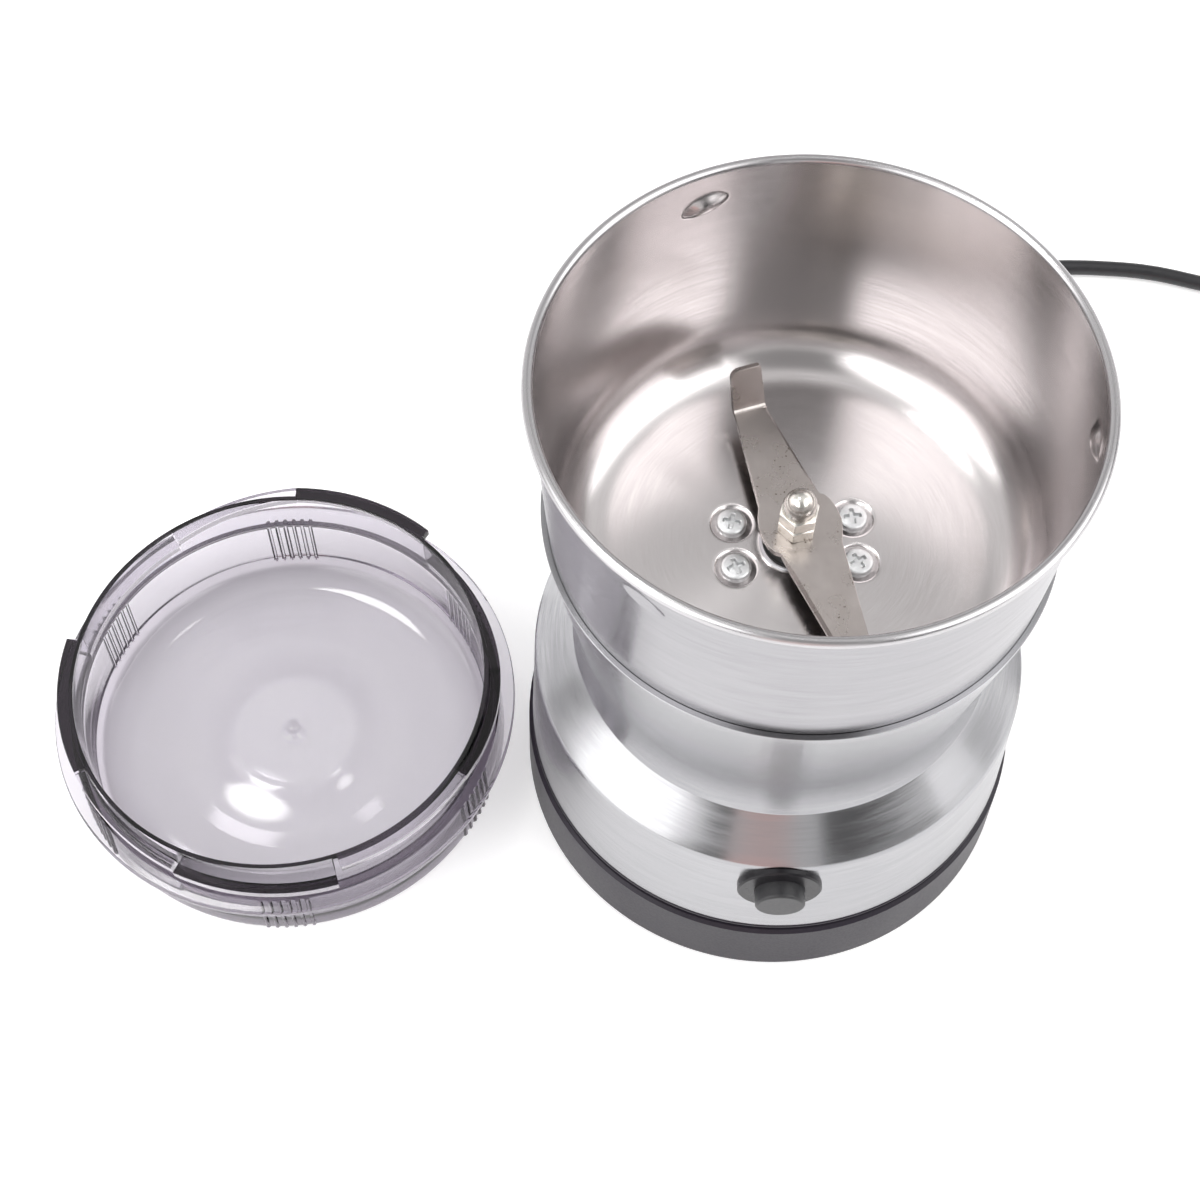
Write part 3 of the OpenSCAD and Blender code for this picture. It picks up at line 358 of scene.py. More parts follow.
finished(["shaft", "blade_collar"],
         banded("shaft_finish", (0.52, 0.51, 0.50), (0.42, 0.41, 0.40), 0.3, 1.0, 1500.0))

# ---------------------------------------------------------------- housing shell
# Drawn stainless sheet: a turned-in lip round the bowl, a narrow neck, a crease, a sloping
# shoulder and a straight band with a round hole for the switch. Brushed while it turns on a
# spindle, so its fine scratches run round the axis; it is pressed over the base's spigot.
shell_sheet = 0.6
switch_place = (-0.8, 42.0)
switch_hole = 7.25
hole_slack, hole_edge = 0.15, 0.6  # faces cut out just past the hole, corners drawn back to it
hole_arc = (259, 281, 0.4)
facet, bend_facet = 1.5, math.radians(7)  # coarse step round the axis, and round a bend
same_place = 2e-6


def arcs_round(coarse, *stretches):
    """A full turn as (degrees, steps) arcs, with finer steps over stretches (from, to, step)."""
    marks = sorted({0.0, 360.0, *(a for a, _, _ in stretches), *(b for _, b, _ in stretches)})
    arcs = []
    for a, b in zip(marks, marks[1:]):
        step = min([coarse] + [s for start, end, s in stretches if start <= (a + b) / 2 <= end])
        arcs.append((b - a, max(1, math.ceil((b - a) / step - 1e-6))))
    return arcs


def lies_between(edge, a, b):
    """Whether an edge lies on the straight line from a to b."""
    way, long = (b - a).normalized(), (b - a).length
    for vert in edge.verts:
        along = (vert.co - a).dot(way)
        off_line = (vert.co - a - way * along).length
        if off_line >= 0.002 * MM or not -1e-6 < along < long + 1e-6:
            return False
    return True


def outline(corners, closed, cuts=None):
    """A wire outline in the XZ plane. Each corner is (radius, height, rounding) in millimetres;
    cuts says how often the stretch that starts at a corner is divided."""
    bm = bmesh.new()
    verts = [bm.verts.new((r * MM, 0, z * MM)) for r, z, _ in corners]
    for i in range(len(verts) if closed else len(verts) - 1):
        bm.edges.new((verts[i], verts[(i + 1) % len(verts)]))
    for vert, (_, _, rounding) in zip(verts, corners):
        if rounding:
            a, b = [e.other_vert(vert).co - vert.co for e in vert.link_edges]
            back = rounding * MM / math.tan(a.angle(b) / 2)
            steps = max(2, round((math.pi - a.angle(b)) / bend_facet))
            bmesh.ops.bevel(bm, geom=[vert], offset=back, offset_type="OFFSET", affect="VERTICES",
                            segments=steps, profile=0.5, material=-1)
    for i, number in (cuts or {}).items():
        ends = corners[i], corners[(i + 1) % len(corners)]
        a, b = [Vector((r, 0, z)) * MM for r, z, _ in ends]
        left_straight = [e for e in bm.edges if lies_between(e, a, b)]
        longest = max(left_straight, key=lambda e: e.calc_length())
        bmesh.ops.subdivide_edges(bm, edges=[longest], cuts=number)
    return bm


def turned(bm, arcs):
    """Spins an outline round the Z axis in a chain of arcs."""
    last = bm.verts[:] + bm.edges[:]
    for degrees, steps in arcs:
        spun = bmesh.ops.spin(bm, geom=last, cent=(0, 0, 0), axis=(0, 0, 1), dvec=(0, 0, 0),
                              angle=math.radians(degrees), steps=steps, use_duplicate=False)
        last = spun["geom_last"]
    bmesh.ops.remove_doubles(bm, verts=bm.verts[:], dist=same_place)
    bmesh.ops.recalc_face_normals(bm, faces=bm.faces[:])


def turned_steel(name, colour, stained, rough, streak, scratch, height_share):
    """Stainless steel with fine scratches round the Z axis and a few slow streaks in its sheen."""
    mat, shader = material_of(name, colour, rough, 1.0)
    place = add_node(mat, "ShaderNodeTexCoord").outputs["Object"]
    split = add_node(mat, "ShaderNodeSeparateXYZ")
    wire(mat, place, split.inputs[0])
    x, y, z = split.outputs
    reach = maths(mat, "SQRT", maths(mat, "ADD", maths(mat, "MULTIPLY", x, x),
                                     maths(mat, "MULTIPLY", y, y)))
    along = maths(mat, "ADD", reach, maths(mat, "MULTIPLY", z, height_share))

    def rings(swirl, per_metre, detail):
        way = add_node(mat, "ShaderNodeCombineXYZ")
        wire(mat, maths(mat, "MULTIPLY", maths(mat, "DIVIDE", x, reach), swirl), way.inputs[0])
        wire(mat, maths(mat, "MULTIPLY", maths(mat, "DIVIDE", y, reach), swirl), way.inputs[1])
        wire(mat, maths(mat, "MULTIPLY", along, per_metre), way.inputs[2])
        return noise_on(mat, 1.0, detail, way.outputs[0])

    fine = rings(5.0, 3600.0, 2.0)
    broad = rings(2.2, 520.0, 3.0)
    slow = noise_on(mat, 26.0, 4.0)
    streaks = maths(mat, "ADD", maths(mat, "MULTIPLY", broad, 0.3),
                    maths(mat, "MULTIPLY", slow, 0.3))
    mixed = maths(mat, "ADD", maths(mat, "MULTIPLY", fine, 0.4), streaks)
    sheen = mapped(mat, mixed, 0.38, 0.62, rough - streak, rough + streak)
    wire(mat, sheen, shader.inputs["Roughness"])
    tone = mapped(mat, mixed, 0.36, 0.64, 0.0, 1.0)
    wire(mat, tinted(mat, tone, colour, stained), shader.inputs["Base Color"])
    scratches = maths(mat, "ADD", maths(mat, "MULTIPLY", fine, 0.6),
                      maths(mat, "MULTIPLY", broad, 0.4))
    relief(mat, shader, scratches, scratch, 0.00004)
    # the quarter turn draws the highlights out across the scratches
    shader.inputs["Anisotropic"].default_value = 0.8
    shader.inputs["Anisotropic Rotation"].default_value = 0.25
    tangent = add_node(mat, "ShaderNodeTangent", direction_type="RADIAL", axis="Z")
    wire(mat, tangent.outputs[0], shader.inputs["Tangent"])
    return mat


shell_bm = outline([(48.72, 105.33, 0), (49.84, 105.33, 0.15), (42.24, 65.0, 26), (43.9, 59.0, 0.3),
                    (52.07, 50.15, 2), (53.1, 22.0, 0)], closed=False, cuts={4: 60, 1: 10, 3: 4})
turned(shell_bm, arcs_round(facet, hole_arc))


def from_switch(vert):
    """How far a corner lies to the side of the switch's middle, and above it."""
    return vert.co.x / MM - switch_place[0], vert.co.z / MM - switch_place[1]


inside_hole = [face for face in shell_bm.faces if face.calc_center_median().y < 0
               and all(math.hypot(*from_switch(v)) < switch_hole + hole_slack for v in face.verts)]
bmesh.ops.delete(shell_bm, geom=inside_hole, context="FACES")
for vert in shell_bm.verts:
    across, up = from_switch(vert)
    if vert.is_boundary and vert.co.y < 0 and math.hypot(across, up) < switch_hole + hole_edge:
        ring = switch_hole / math.hypot(across, up)
        out = math.hypot(vert.co.x, vert.co.y)
        vert.co.x = (switch_place[0] + across * ring) * MM
        vert.co.z = (switch_place[1] + up * ring) * MM
        vert.co.y = -math.sqrt(out * out - vert.co.x ** 2)
bmesh.ops.solidify(shell_bm, geom=shell_bm.faces[:], thickness=shell_sheet * MM)
bmesh.ops.recalc_face_normals(shell_bm, faces=shell_bm.faces[:])
steel_shell = from_bmesh(shell_bm, "steel_shell", 28.0)
steel_shell.data.materials.append(
    turned_steel("shell_finish", (0.42, 0.42, 0.432), (0.37, 0.37, 0.385), 0.22, 0.04, 0.34, 1.7))
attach(steel_shell, "housing")
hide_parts("housing_shell")

# ---------------------------------------------------------------- switch
# A round push button in satin black plastic that stands out of a glossy bush with two flats,
# which is pushed through the hole in the band from outside.
finished(["switch_bezel"],
         moulded("bush_finish", (0.006, 0.0055, 0.007), (0.009, 0.008, 0.010),
                 0.3, 1100.0, 0.02, 0.35))
finished(["button"],
         moulded("button_finish", (0.020, 0.020, 0.022), (0.028, 0.028, 0.030),
                 0.36, 1700.0, 0.15, 0.4))

# ---------------------------------------------------------------- bowl
# Deep-drawn stainless sheet, a little wider at the mouth, with a rolled rim. Three slanting
# dimples for the lid are pressed in under the rim, and four round pockets sink its screws into
# the floor beside the boss round the shaft. Scoured round the axis, warmer than the shell.
mouth_r, mouth_z, wall_lean = 50.4, 144.3, math.tan(math.radians(3.5))
wall_low, wall_high = 133.0, 143.2
rim_top, rim_foot, rim_reach, rim_roll = 146.34, 144.25, 52.49, 1.035
bowl_floor = 91.8
bowl_sheet = 0.6
pocket_deep, pocket_flat, pocket_edge = 0.9, 3.0, 4.5
screw_turn = math.radians(3.5)
screw_places = [(sx * 12.0, sy * 5.15) for sx in (-1, 1) for sy in (-1, 1)]
screw_places = [(x * math.cos(screw_turn) - y * math.sin(screw_turn),
                 x * math.sin(screw_turn) + y * math.cos(screw_turn)) for x, y in screw_places]
dimple_turns, dimple_spread = (112.5, 232.5, 352.5), 6.5
dimple_z, dimple_tilt, dimple_half, dimple_drop = 138.3, math.radians(12), 4.9, 2.0
# How deep the dimple is, how soft its lower side is, and how far up it reaches
dimple_inside, dimple_outside = (1.6, 0.75, 2.8), (0.7, 1.6, 2.2)


def wall_in(z):
    return mouth_r - (mouth_z - z) * wall_lean


def wall_out(z):
    return wall_in(z) + bowl_sheet


floor_under = bowl_floor - bowl_sheet
bowl_corners = [(5.0, 93.6, 0), (5.5, 93.6, 0.5), (6.7, bowl_floor, 1.6), (18.5, bowl_floor, 0),
                (wall_in(bowl_floor), bowl_floor, 11), (wall_in(wall_low), wall_low, 0),
                (wall_in(wall_high), wall_high, 0), (50.42, rim_top, rim_roll),
                (rim_reach, rim_top, rim_roll), (rim_reach, rim_foot, rim_roll),
                (51.05, rim_foot, 0.12), (wall_out(wall_high), wall_high, 0),
                (wall_out(wall_low), wall_low, 0), (wall_out(floor_under), floor_under, 11.6),
                (18.5, floor_under, 0), (6.3, floor_under, 0.5), (5.3, 93.0, 0.2), (5.0, 93.0, 0)]
bowl_bm = outline(bowl_corners, closed=True,
                  cuts={2: 30, 3: 12, 4: 10, 5: 30, 11: 30, 12: 8, 13: 8, 14: 28})
turned(bowl_bm, arcs_round(facet, *((a - dimple_spread, a + dimple_spread, 0.35)
                                    for a in dimple_turns)))


def dimple_push(along, up, inner):
    """How far the wall is pressed in, beside and above the middle of a dimple."""
    deep, softness, rise = dimple_inside if inner else dimple_outside
    s = along * math.cos(dimple_tilt) - up * math.sin(dimple_tilt)
    h = along * math.sin(dimple_tilt) + up * math.cos(dimple_tilt)
    lower = max(0.0, 1 - (s / dimple_half) ** 2 - (h / dimple_drop) ** 2) ** softness
    upper = max(0.0, 1 - (s / dimple_half) ** 2 - (h / rise) ** 2) ** 1.5
    share = smooth_step(h, -0.4, 1.0)
    return deep * (lower * (1 - share) + upper * share)


for vert in bowl_bm.verts:
    x, y, z = vert.co / MM
    reach = math.hypot(x, y)
    if z < 92.2 and 8.3 < reach < 18.4:  # the flat floor between the boss and the wall's foot
        from_screw = min(math.hypot(x - sx, y - sy) for sx, sy in screw_places)
        vert.co.z -= pocket_deep * (1.0 - smooth_step(from_screw, pocket_flat, pocket_edge)) * MM
    if wall_low < z < wall_high:
        inner = abs(reach - wall_in(z)) < bowl_sheet / 2
        for turn in dimple_turns:
            away = (math.degrees(math.atan2(y, x)) - turn + 180) % 360 - 180
            if abs(away) > dimple_spread:
                continue
            push = dimple_push(math.radians(away) * reach, z - dimple_z, inner)
            vert.co.x -= push * MM * x / reach
            vert.co.y -= push * MM * y / reach
steel_bowl = from_bmesh(bowl_bm, "steel_bowl", 40.0)
# Painted light and shade on one steel: the inside painted bright, the outside of the wall and the
# boss painted darker as shade, and the rim painted between the two
for name, colour, stained, rough, streak, scratch in (
        ("bowl_painted_light_finish", (0.66, 0.632, 0.632), (0.60, 0.572, 0.572), 0.20, 0.035, 0.16),
        ("bowl_painted_shade_finish", (0.385, 0.38, 0.395), (0.345, 0.34, 0.355), 0.22, 0.035, 0.2),
        ("bowl_rim_painted_half_shade_finish", (0.56, 0.55, 0.56), (0.50, 0.49, 0.50), 0.26, 0.04, 0.16)):
    steel_bowl.data.materials.append(
        turned_steel(name, colour, stained, rough, streak, scratch, 1.0))
rim_from, wall_beyond, boss_within = 144.6 * MM, 40 * MM, 7 * MM
# the rim takes the half-shaded copy, the outside of the wall and the boss the painted shade
for face in steel_bowl.data.polygons:
    x, y, z = face.center
    reach = math.hypot(x, y)
    faces_out = face.normal.x * x + face.normal.y * y > 0.2 * reach
    if z > rim_from:
        face.material_index = 2
    elif (faces_out and reach > wall_beyond) or reach < boss_within:
        face.material_index = 1
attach(steel_bowl, "housing")
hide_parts("bowl")
finished(["shaft_seal"],
         moulded("seal_finish", (0.04, 0.04, 0.04), (0.06, 0.06, 0.06), 0.55, 1200.0, 0.2))

# ---------------------------------------------------------------- bowl screws
# Four pan-head screws with a cross recess, zinc plated, that hold the bowl to the motor's posts.
# Their heads sit in the pockets of the bowl's floor; each stopped at a turn of its own.
head_r, head_h, head_foot = 2.95, 1.9, bowl_floor - 1.0
domed_above, domed_r, dome_fall, cross_deep = 1.55, 2.6, 0.2, 0.8
screw_turns = (22, -12, 31, 8)
all_screws = bmesh.new()
for (sx, sy), turn in zip(screw_places, screw_turns):
    screw_bm = outline([(0, -7.0, 0), (1.4, -7.0, 0.3), (1.5, 0, 0), (head_r, 0, 0.12),
                        (head_r, 1.6, 0.35), (0.0, head_h, 0)], closed=False, cuts={4: 34})
    turned(screw_bm, [(360, 96)])
    for vert in screw_bm.verts:
        x, y, z = vert.co / MM
        reach = math.hypot(x, y)
        if z > domed_above and reach < domed_r:
            z = head_h - dome_fall * (reach / domed_r) ** 2
            blade_way = math.radians(turn)
            u = abs(x * math.cos(blade_way) + y * math.sin(blade_way))
            w = abs(y * math.cos(blade_way) - x * math.sin(blade_way))
            u, w = max(u, w), min(u, w)
            slot = (1 - smooth_step(w, 0.30, 0.48)) * (1 - smooth_step(u, 1.35, 1.9))
            middle = 1 - smooth_step(reach, 0.5, 0.9)
            vert.co.z = (z - cross_deep * max(slot, middle)) * MM
    bmesh.ops.translate(screw_bm, verts=screw_bm.verts[:], vec=(sx * MM, sy * MM, head_foot * MM))
    one_screw = bpy.data.meshes.new("one_screw")
    screw_bm.to_mesh(one_screw)
    screw_bm.free()
    all_screws.from_mesh(one_screw)
    bpy.data.meshes.remove(one_screw)
pan_screws = from_bmesh(all_screws, "pan_screws", 40.0)
pan_screws.data.materials.append(
    worked_metal("screw_finish", (0.78, 0.79, 0.79), (0.66, 0.67, 0.68), 0.36, 1500.0, 0.35))
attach(pan_screws, "housing")
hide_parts("bowl_screws")

# ---------------------------------------------------------------- blade
# A flat two-armed knife in satin stainless strip, 1.4 mm thick, with both tips bent up and one
# side of each arm ground to an edge. It sits on the shaft's threaded stud under two nuts.
blade_top, blade_sheet, blade_turn = 97.8, 1.4, 18.5
bend_from, bend_in, bend_angle, tip_long = 27.8, 1.2, math.radians(66), 8.4
bend_long = (bend_in + blade_sheet / 2) * bend_angle
arm_end = bend_from + bend_long + tip_long
hub_x, hub_y = 0.9, 0.6
ground_off, broken_edge = 0.62, 0.1
tip_corners = ((-3.2, 1.9), (3.1, 0.5))  # where a tip's corner is, and its rounding
arm = [(6, 5.4), (5.6, 9.8), (3.3, bend_from), (3.1, arm_end), (-3.2, arm_end), (-3.5, bend_from),
       (-6.3, 6.4), (-7.4, 3.9), (-8.1, 1.4), (-8.1, -1), (-7.6, -3.4), (-6.9, -4.7)]
blade_outline = arm + [(-x, -y) for x, y in arm]
blade_bm = bmesh.new()
blade_bm.faces.new([blade_bm.verts.new((x * MM, y * MM, 0)) for x, y in blade_outline])
for side in (1, -1):
    for x, rounding in tip_corners:
        place = Vector((side * x, side * arm_end, 0)) * MM
        corner = min(blade_bm.verts, key=lambda v: (v.co - place).length)
        bmesh.ops.bevel(blade_bm, geom=[corner], offset=rounding * MM, offset_type="OFFSET",
                        affect="VERTICES", segments=8, profile=0.5, material=-1)
cuts_across = [bend_from + bend_long * k / 10 for k in range(11)] + [10, 16, 22, arm_end - 4]
for y in [sign * y for y in cuts_across for sign in (1, -1)]:
    bmesh.ops.bisect_plane(blade_bm, geom=blade_bm.verts[:] + blade_bm.edges[:] + blade_bm.faces[:],
                           plane_co=(0, y * MM, 0), plane_no=(0, 1, 0), dist=1e-7)
raised = bmesh.ops.extrude_face_region(blade_bm, geom=blade_bm.faces[:])["geom"]
bmesh.ops.translate(blade_bm, verts=[g for g in raised if isinstance(g, bmesh.types.BMVert)],
                    vec=(0, 0, -blade_sheet * MM))
bmesh.ops.recalc_face_normals(blade_bm, faces=blade_bm.faces[:])


def rim_edges(bm, wanted):
    return [e for e in bm.edges
            if len(e.link_faces) == 2 and e.calc_face_angle() > 0.9 and wanted(e)]


def on_ground_side(edge):
    a, b = [v.co / MM for v in edge.verts]
    middle = (a + b) / 2
    return (middle.z > -0.1 and 9.0 < abs(middle.y) < bend_from + 0.1 and middle.x * middle.y > 0
            and abs(a.z - b.z) < 0.1)


def is_level(edge):
    return abs(edge.verts[0].co.z - edge.verts[1].co.z) < 0.1 * MM


for wanted, offset, segments in ((on_ground_side, ground_off, 1), (is_level, broken_edge, 2)):
    bmesh.ops.bevel(blade_bm, geom=rim_edges(blade_bm, wanted), offset=offset * MM,
                    offset_type="OFFSET", affect="EDGES", segments=segments, profile=0.5,
                    material=-1)
for vert in blade_bm.verts:
    past = abs(vert.co.y) / MM - bend_from
    if past > 0:
        turned_by = min(1.0, past / bend_long) * bend_angle
        radius = bend_in - vert.co.z / MM
        straight = max(0.0, past - bend_long)
        side = math.copysign(1, vert.co.y)
        vert.co.y = side * MM * (bend_from + radius * math.sin(turned_by)
                                 + straight * math.cos(turned_by))
        vert.co.z = MM * (bend_in - radius * math.cos(turned_by) + straight * math.sin(turned_by))
bmesh.ops.translate(blade_bm, verts=blade_bm.verts[:], vec=(hub_x * MM, hub_y * MM, blade_top * MM))
bmesh.ops.rotate(blade_bm, verts=blade_bm.verts[:], cent=(0, 0, 0),
                 matrix=Matrix.Rotation(math.radians(blade_turn), 3, "Z"))
knife = from_bmesh(blade_bm, "knife", 14.0)
knife_finish, knife_shader = material_of("knife_finish", (0.47, 0.445, 0.42), 0.24, 1.0)
knife_place = add_node(knife_finish, "ShaderNodeTexCoord").outputs["Object"]
knife_way = add_node(knife_finish, "ShaderNodeMapping")
knife_way.inputs["Rotation"].default_value = (0, 0, math.radians(-blade_turn))
knife_way.inputs["Scale"].default_value = (1.0, 0.12, 1.0)
wire(knife_finish, knife_place, knife_way.inputs["Vector"])
knife_grind = noise_on(knife_finish, 2600.0, 2.0, knife_way.outputs[0])
knife_cloud = noise_on(knife_finish, 160.0, 5.0)
knife_pits = noise_on(knife_finish, 1700.0, 1.0)
knife_pitted = maths(knife_finish, "MULTIPLY",
                     mapped(knife_finish, knife_pits, 0.66, 0.72, 0.0, 1.0),
                     mapped(knife_finish, knife_cloud, 0.5, 0.62, 0.0, 1.0))
knife_tone = tinted(knife_finish, mapped(knife_finish, knife_cloud, 0.35, 0.65, 0.0, 1.0),
                    (0.54, 0.495, 0.475), (0.45, 0.41, 0.39))
knife_spots = add_node(knife_finish, "ShaderNodeMixRGB", Color2=(0.16, 0.13, 0.11, 1.0))
wire(knife_finish, knife_pitted, knife_spots.inputs["Fac"])
wire(knife_finish, knife_tone, knife_spots.inputs["Color1"])
wire(knife_finish, knife_spots.outputs[0], knife_shader.inputs["Base Color"])
knife_sheen = mapped(knife_finish, knife_cloud, 0.3, 0.7, 0.19, 0.31)
wire(knife_finish, knife_sheen, knife_shader.inputs["Roughness"])
relief(knife_finish, knife_shader, maths(knife_finish, "SUBTRACT", knife_grind, knife_pitted),
       0.15, 0.00006)
knife.data.materials.append(knife_finish)
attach(knife, "rotor")
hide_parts("blade")

# ---------------------------------------------------------------- nuts
# A plain hexagon nut clamps the blade and a domed nut locks it, both 7 mm across flats with
# chamfered corners, in bright zinc. They screw onto the shaft's stud.
nut_flat, nut_shoulder = 3.5, 3.42
nut_chamfer = math.tan(math.radians(30))
lower_top, upper_foot, upper_top = 100.85, 101.1, 104.2
dome_r, dome_step, dome_foot, dome_middle = 3.25, 0.04, 104.3, 105.75


def hexagon(turn):
    """How far the hexagon reaches at a turn; its corners are at 15 degrees and every 60 on."""
    from_flat = (math.degrees(turn) - 15) % 60 - 30
    return nut_flat / math.cos(math.radians(from_flat))


def lift_ring(bm, face, z, reach):
    """Raises a face to a new ring of the given reach; reach and z may follow the turn."""
    made = bmesh.ops.extrude_face_region(bm, geom=[face])["geom"]
    for vert in [g for g in made if isinstance(g, bmesh.types.BMVert)]:
        turn = math.atan2(vert.co.y, vert.co.x)
        r = reach(turn)
        vert.co = (r * MM * math.cos(turn), r * MM * math.sin(turn), z(turn) * MM)
    bmesh.ops.delete(bm, geom=[face], context="FACES_ONLY")
    return [g for g in made if isinstance(g, bmesh.types.BMFace)][0]


def hex_nut(foot, top, shoulder_r):
    """A hexagon with chamfered corners. Returns its bmesh and its top face."""
    bm = bmesh.new()
    bmesh.ops.create_circle(bm, cap_ends=True, segments=72, radius=shoulder_r * MM)
    bmesh.ops.translate(bm, verts=bm.verts[:], vec=(0, 0, foot * MM))
    made = bmesh.ops.extrude_face_region(bm, geom=bm.faces[:])["geom"]
    face = [g for g in made if isinstance(g, bmesh.types.BMFace)][0]
    for vert in face.verts:
        turn = math.atan2(vert.co.y, vert.co.x)
        r = hexagon(turn)
        vert.co = (r * MM * math.cos(turn), r * MM * math.sin(turn),
                   (foot + (r - shoulder_r) * nut_chamfer) * MM)
    face = lift_ring(bm, face, lambda t: top - (hexagon(t) - shoulder_r) * nut_chamfer, hexagon)
    face = lift_ring(bm, face, lambda t: top, lambda t: shoulder_r)
    return bm, face


def nut_piece(bm, name, node):
    bmesh.ops.recalc_face_normals(bm, faces=bm.faces[:])
    sides = [e for e in bm.edges
             if len(e.link_faces) == 2 and e.calc_face_angle() > math.radians(14)
             and abs(e.verts[0].co.z - e.verts[1].co.z) > 0.5 * MM]
    bmesh.ops.bevel(bm, geom=sides, offset=0.12 * MM, offset_type="OFFSET", affect="EDGES",
                    segments=2, profile=0.5, material=-1)
    nut = from_bmesh(bm, name, 13.0)
    nut.data.materials.append(nut_finish)
    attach(nut, "rotor")
    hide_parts(node)


nut_finish = worked_metal("nut_finish", (0.80, 0.785, 0.745), (0.68, 0.66, 0.61), 0.2, 600.0, 0.12)
lower_nut, _ = hex_nut(blade_top, lower_top, nut_shoulder)
nut_piece(lower_nut, "lower_nut", "blade_nut")

domed_nut, ring = hex_nut(upper_foot, upper_top, nut_shoulder)
dome_rings = [(upper_top, dome_r + dome_step), (dome_foot, dome_r), (dome_middle, dome_r)]
for k in range(1, 12):
    rise = math.radians(k * 7.6)
    dome_rings.append((dome_middle + dome_r * math.sin(rise), dome_r * math.cos(rise)))
for height, reach in dome_rings:
    ring = lift_ring(domed_nut, ring, lambda t: height, lambda t: reach)
nut_piece(domed_nut, "domed_nut", "cap_nut")

# ---------------------------------------------------------------- lid
# The lid is moulded in one piece of clear smoky plastic and stands upside down: a dished floor
# with the stub of its gate, a wall with groups of grip ribs, a flange, and a thin plug with three
# bayonet ledges, each a level lug at the rim, a sloping stop and a low run that holds a dimple.
lid_x, lid_y = -109.3, 1.4
plug_r, ledge_r, ledge_thick = 46.7, 49.0, 2.0
rim_z, flange_top = 31.3, 19.3
lug_from, lug_to, stop_to, run_to = 50.3, 90.0, 126.0, 168.5
stop_z, low_z, run_drop = 26.2, 24.2, 1.5
rib_groups = [33.8 + 60 * k for k in range(6)]
rib_pitch, rib_half, rib_out, rib_edge = 2.4, 0.36, 0.5, 0.12
rib_steps = (-2.5, -1.5, -0.5, 0.5, 1.5, 2.5)
rim_in = 46.5

lid_corners = [(0.0, 5.3, 0), (1.2, 5.2, 0.4), (1.8, 4.2, 0.5), (3.0, 3.35, 0.8), (14.9, 3.35, 0.6),
               (18.0, 2.93, 60.0), (22.0, 2.6, 75.0), (28.5, 2.4, 75.0), (39.6, 2.4, 17.0),
               (43.9, 4.2, 2.5), (45.25, 7.2, 3.5), (45.4, 20.0, 0), (45.5, rim_z, 0.3),
               (rim_in, rim_z, 0), (plug_r, rim_z - 0.2, 0), (plug_r, rim_z - 0.4, 0),
               (plug_r, rim_z - ledge_thick, 0), (plug_r, rim_z - ledge_thick - 0.2, 0),
               (plug_r, flange_top, 0.3), (51.97, flange_top, 0.45), (51.97, 17.3, 0.45),
               (48.4, 17.3, 0.25), (48.6, 0.0, 3.5), (28.8, 0.0, 4.0), (25.2, 0.3, 4.0),
               (17.0, 0.3, 5.0), (13.5, 1.4, 5.0), (0.0, 1.4, 0)]
lid_bm = outline(lid_corners, closed=False, cuts={11: 3, 21: 8, 22: 2})
# The rings of corners that the ledges are drawn out of: 1 on the rim, 2 to 5 below it on the plug
ring_heights = {2: rim_z - 0.2, 3: rim_z - 0.4, 4: rim_z - ledge_thick,
                5: rim_z - ledge_thick - 0.2}
row = lid_bm.verts.layers.int.new("row")
for vert in lid_bm.verts:
    r, z = vert.co.x / MM, vert.co.z / MM
    vert[row] = 0
    if abs(r - rim_in) < 0.01 and z > 31:
        vert[row] = 1
    for number, height in ring_heights.items():
        if abs(r - plug_r) < 0.01 and abs(z - height) < 0.01:
            vert[row] = number
ledge_marks = [(a + 120 * k) % 360 for k in range(3) for a in (lug_from, lug_to, stop_to, run_to)]
rib_stretches = [(a - 6.6, a + 6.6, 0.24) for a in rib_groups]
mark_stretches = [(a - 0.3, a + 0.3, 0.3) for a in ledge_marks]
turned(lid_bm, arcs_round(facet, *rib_stretches, *mark_stretches))


def ledge_place(number, where):
    """Reach and height of a ring's corner along a ledge, or None where there is no ledge."""
    if lug_from - 0.05 < where < lug_to + 0.05:
        return {1: (ledge_r - 0.2, rim_z), 2: (ledge_r, rim_z - 0.2), 3: (ledge_r, rim_z - 0.5),
                4: (ledge_r, rim_z - ledge_thick), 5: (plug_r, rim_z - ledge_thick)}[number]
    if not lug_to < where < run_to + 0.05:
        return None
    if where < stop_to:
        top = rim_z - 0.25 + (stop_z - rim_z + 0.25) * (where - lug_to) / (stop_to - lug_to)
    else:
        top = low_z - run_drop * (where - stop_to) / (run_to - stop_to)
    return {1: (rim_in, rim_z), 2: (plug_r, top + 0.02), 3: (ledge_r, top),
            4: (ledge_r, top - ledge_thick), 5: (plug_r, top - ledge_thick - 0.02)}[number]


for vert in lid_bm.verts:
    x, y, z = vert.co / MM
    reach = math.hypot(x, y)
    turn = math.degrees(math.atan2(y, x)) % 360
    place = turn % 120
    # a ledge runs past 120 degrees, into the next third of the turn
    where = place if place >= lug_from - 0.05 else place + 120
    new_r, new_z = reach, z
    if vert[row]:
        new_r, new_z = ledge_place(vert[row], where) or (reach, z)
    if 1.5 < z < 17.31 and 47.5 < reach < 49:  # the outside of the wall, where the ribs are
        away = min(abs((turn - a - rib_pitch * k + 180) % 360 - 180)
                   for a in rib_groups for k in rib_steps)
        across = math.radians(away) * reach
        share = 1 - smooth_step(across, rib_half - rib_edge, rib_half + rib_edge)
        new_r += rib_out * share * smooth_step(z, 1.6, 3.0)
    vert.co = (new_r * MM * math.cos(math.radians(turn)),
               new_r * MM * math.sin(math.radians(turn)), new_z * MM)
bmesh.ops.translate(lid_bm, verts=lid_bm.verts[:], vec=(lid_x * MM, lid_y * MM, 0))
clear_lid = from_bmesh(lid_bm, "clear_lid", 32.0)
smoky, smoky_shader = material_of("smoky_clear", (0.96, 0.95, 0.97), 0.03)
smoky_shader.inputs["Transmission Weight"].default_value = 1.0
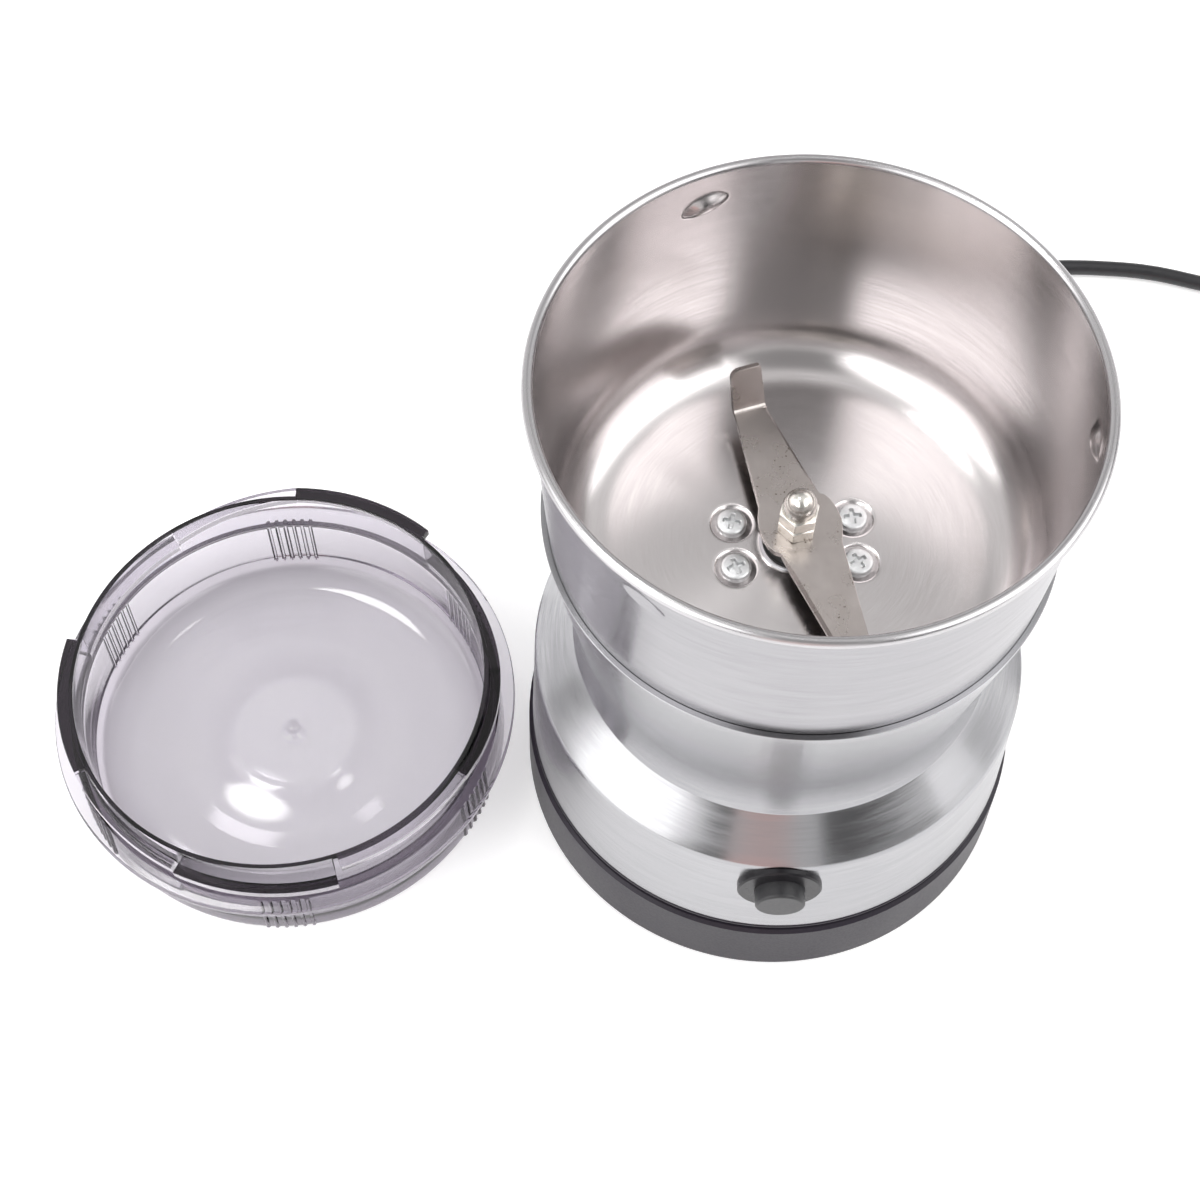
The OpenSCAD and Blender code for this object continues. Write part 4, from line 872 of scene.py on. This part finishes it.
smoky_shader.inputs["IOR"].default_value = 1.49
smoky_wave = noise_on(smoky, 60.0, 2.0)
wire(smoky, mapped(smoky, smoky_wave, 0.3, 0.7, 0.02, 0.06), smoky_shader.inputs["Roughness"])
smoky_tone = tinted(smoky, smoky_wave, (0.97, 0.96, 0.98), (0.94, 0.93, 0.96))
wire(smoky, smoky_tone, smoky_shader.inputs["Base Color"])
relief(smoky, smoky_shader, smoky_wave, 0.05, 0.0002)
smoky_depth = add_node(smoky, "ShaderNodeVolumeAbsorption")
smoky_depth.inputs["Color"].default_value = (0.53, 0.49, 0.55, 1.0)
smoky_depth.inputs["Density"].default_value = 180.0
wire(smoky, smoky_depth.outputs[0], smoky.node_tree.nodes["Material Output"].inputs["Volume"])
clear_lid.data.materials.append(smoky)

# Painted shade, in a darker copy of the plastic, for faces that give little light back: the top of
# the rim, the ledges' tops on the stretches (in degrees) that look dark from the front, the ribs'
# flanks and the stub's slopes
smoky_painted_shade = smoky.copy()
smoky_painted_shade.name = "smoky_clear_painted_shade"
for link in smoky_painted_shade.node_tree.nodes["Principled BSDF"].inputs["Base Color"].links:
    link.from_node.inputs["Color1"].default_value = (0.36, 0.29, 0.36, 1.0)
    link.from_node.inputs["Color2"].default_value = (0.28, 0.22, 0.28, 1.0)
clear_lid.data.materials.append(smoky_painted_shade)
painted_shade_tops = [(0, 90), (170.3, 210), (246, 288.5), (330, 360)]
for face in clear_lid.data.polygons:
    x, y, z = face.center.x / MM - lid_x, face.center.y / MM - lid_y, face.center.z / MM
    reach = math.hypot(x, y)
    turn = math.degrees(math.atan2(y, x)) % 360
    outward = (face.normal.x * x + face.normal.y * y) / reach
    on_dark_top = reach < 46.6 or any(a < turn < b for a, b in painted_shade_tops)
    dark_top = face.normal.z > 0.6 and 45.3 < reach < 49.2 and z > 21 and on_dark_top
    rib_flank = 48.4 < reach < 49.3 and 2 < z < 17.2 and outward < 0.9
    stub_slope = reach < 3 and 0.1 < face.normal.z < 0.5
    # these faces take the painted shade
    if dark_top or rib_flank or stub_slope:
        face.material_index = 1
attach(clear_lid, "lid")
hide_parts("lid")
